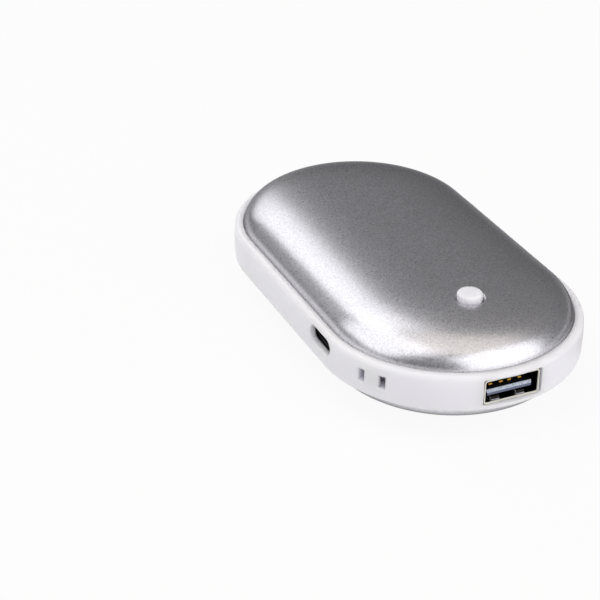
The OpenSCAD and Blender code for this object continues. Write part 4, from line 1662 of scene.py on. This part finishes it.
    def build_camera(self) -> None:
        """Builds the camera at the photograph's view."""
        turn, lift, roll = math.radians(self.turn), math.radians(self.lift), math.radians(self.roll)
        back = Vector((math.sin(turn) * math.cos(lift), -math.cos(turn) * math.cos(lift), math.sin(lift)))
        right = Vector((0, 0, 1)).cross(back).normalized()
        up = back.cross(right)
        right_r = right * math.cos(roll) + up * math.sin(roll)
        up_r = up * math.cos(roll) - right * math.sin(roll)
        camera = bpy.data.cameras.new("main_camera")
        camera.lens = self.lens
        camera.sensor_width = self.sensor_w
        holder = bpy.data.objects.new("main_camera", camera)
        turned = Matrix((right_r, up_r, back)).transposed().to_4x4()
        holder.matrix_world = Matrix.Translation(self.target + back * self.distance) @ turned
        bpy.context.scene.collection.objects.link(holder)
        bpy.context.scene.camera = holder


# The warmer


@dataclass
class HandWarmer:
    """Builds the pieces that show and dresses the nodes that stay."""

    body: Body
    button: PushButton
    outlet: OutletSocket

    def build(self) -> None:
        """Builds and dresses everything."""
        self.build_shells()
        self.build_ring()
        self.build_button()
        self.build_outlet()
        self.dress_inside()

    def build_shells(self) -> None:
        """Builds both shells."""
        metal = ALUMINIUM.material()
        hole_r = self.button.cap_r + self.button.play
        for half, node in ((Half.UPPER, "top_shell"), (Half.LOWER, "bottom_shell")):
            piece = DomedShell(self.body, half, hole_r, self.button.centre_y).build()
            dress(piece, metal)
            place_piece(piece, HOUSING, "aluminium_shell", node)

    def build_ring(self) -> None:
        """Builds the ring frame."""
        piece = RingFrame(self.body).build()
        dress(piece, WHITE_RING.material(), POCKET_PAINTED_SHADE.material())
        place_piece(piece, HOUSING, "frame_plastic", "mid_frame")

    def build_button(self) -> None:
        """Builds the button."""
        piece = self.button.build()
        dress(piece, WHITE_CAP.material())
        place_piece(piece, BUTTON, "button_plastic", "button_cap")

    def build_outlet(self) -> None:
        """Builds the outlet socket."""
        # The sheet and the leaves take near-black steel: painted shade inside the socket
        steel = SOCKET_STEEL_PAINTED_SHADE.material()
        shell = self.outlet.build_shell()
        dress(shell, steel, SOCKET_RIM_PAINTED_HIGHLIGHT.material())
        place_piece(shell, HOUSING, "socket_steel", "outlet_shell")
        leaves = self.outlet.build_leaves()
        dress(leaves, steel, LEAF_EDGE_PAINTED_HIGHLIGHT.material())
        place_piece(leaves, HOUSING, "socket_steel", "outlet_shell")
        tongue = self.outlet.build_tongue()
        dress(tongue, TONGUE_PAINTED_SHADE.material(), TONGUE_FACE.material(), TONGUE_NOSE_PAINTED_HIGHLIGHT.material())
        place_piece(tongue, HOUSING, "tongue_plastic", "outlet_tongue")
        pins = self.outlet.build_contacts()
        dress(pins, GOLD.material())
        place_piece(pins, HOUSING, "contact_gold", "outlet_contacts")

    def dress_inside(self) -> None:
        """Gives every node that stays its own finish."""
        made = {node: finish.material() for node, finish in INNER_FINISHES.items()}
        for node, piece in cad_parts.items():
            source = SAME_FINISH.get(node, node)
            if source in made:
                dress(piece, made[source])


def main() -> None:
    """Builds the studio and the warmer."""
    logging.basicConfig(level=logging.INFO)
    bpy.context.scene.view_settings.view_transform = "Standard"
    Studio().build()
    HandWarmer(Body.from_frame(), PushButton.from_frame(), OutletSocket.from_frame()).build()


if __name__ == "__main__":
    main()
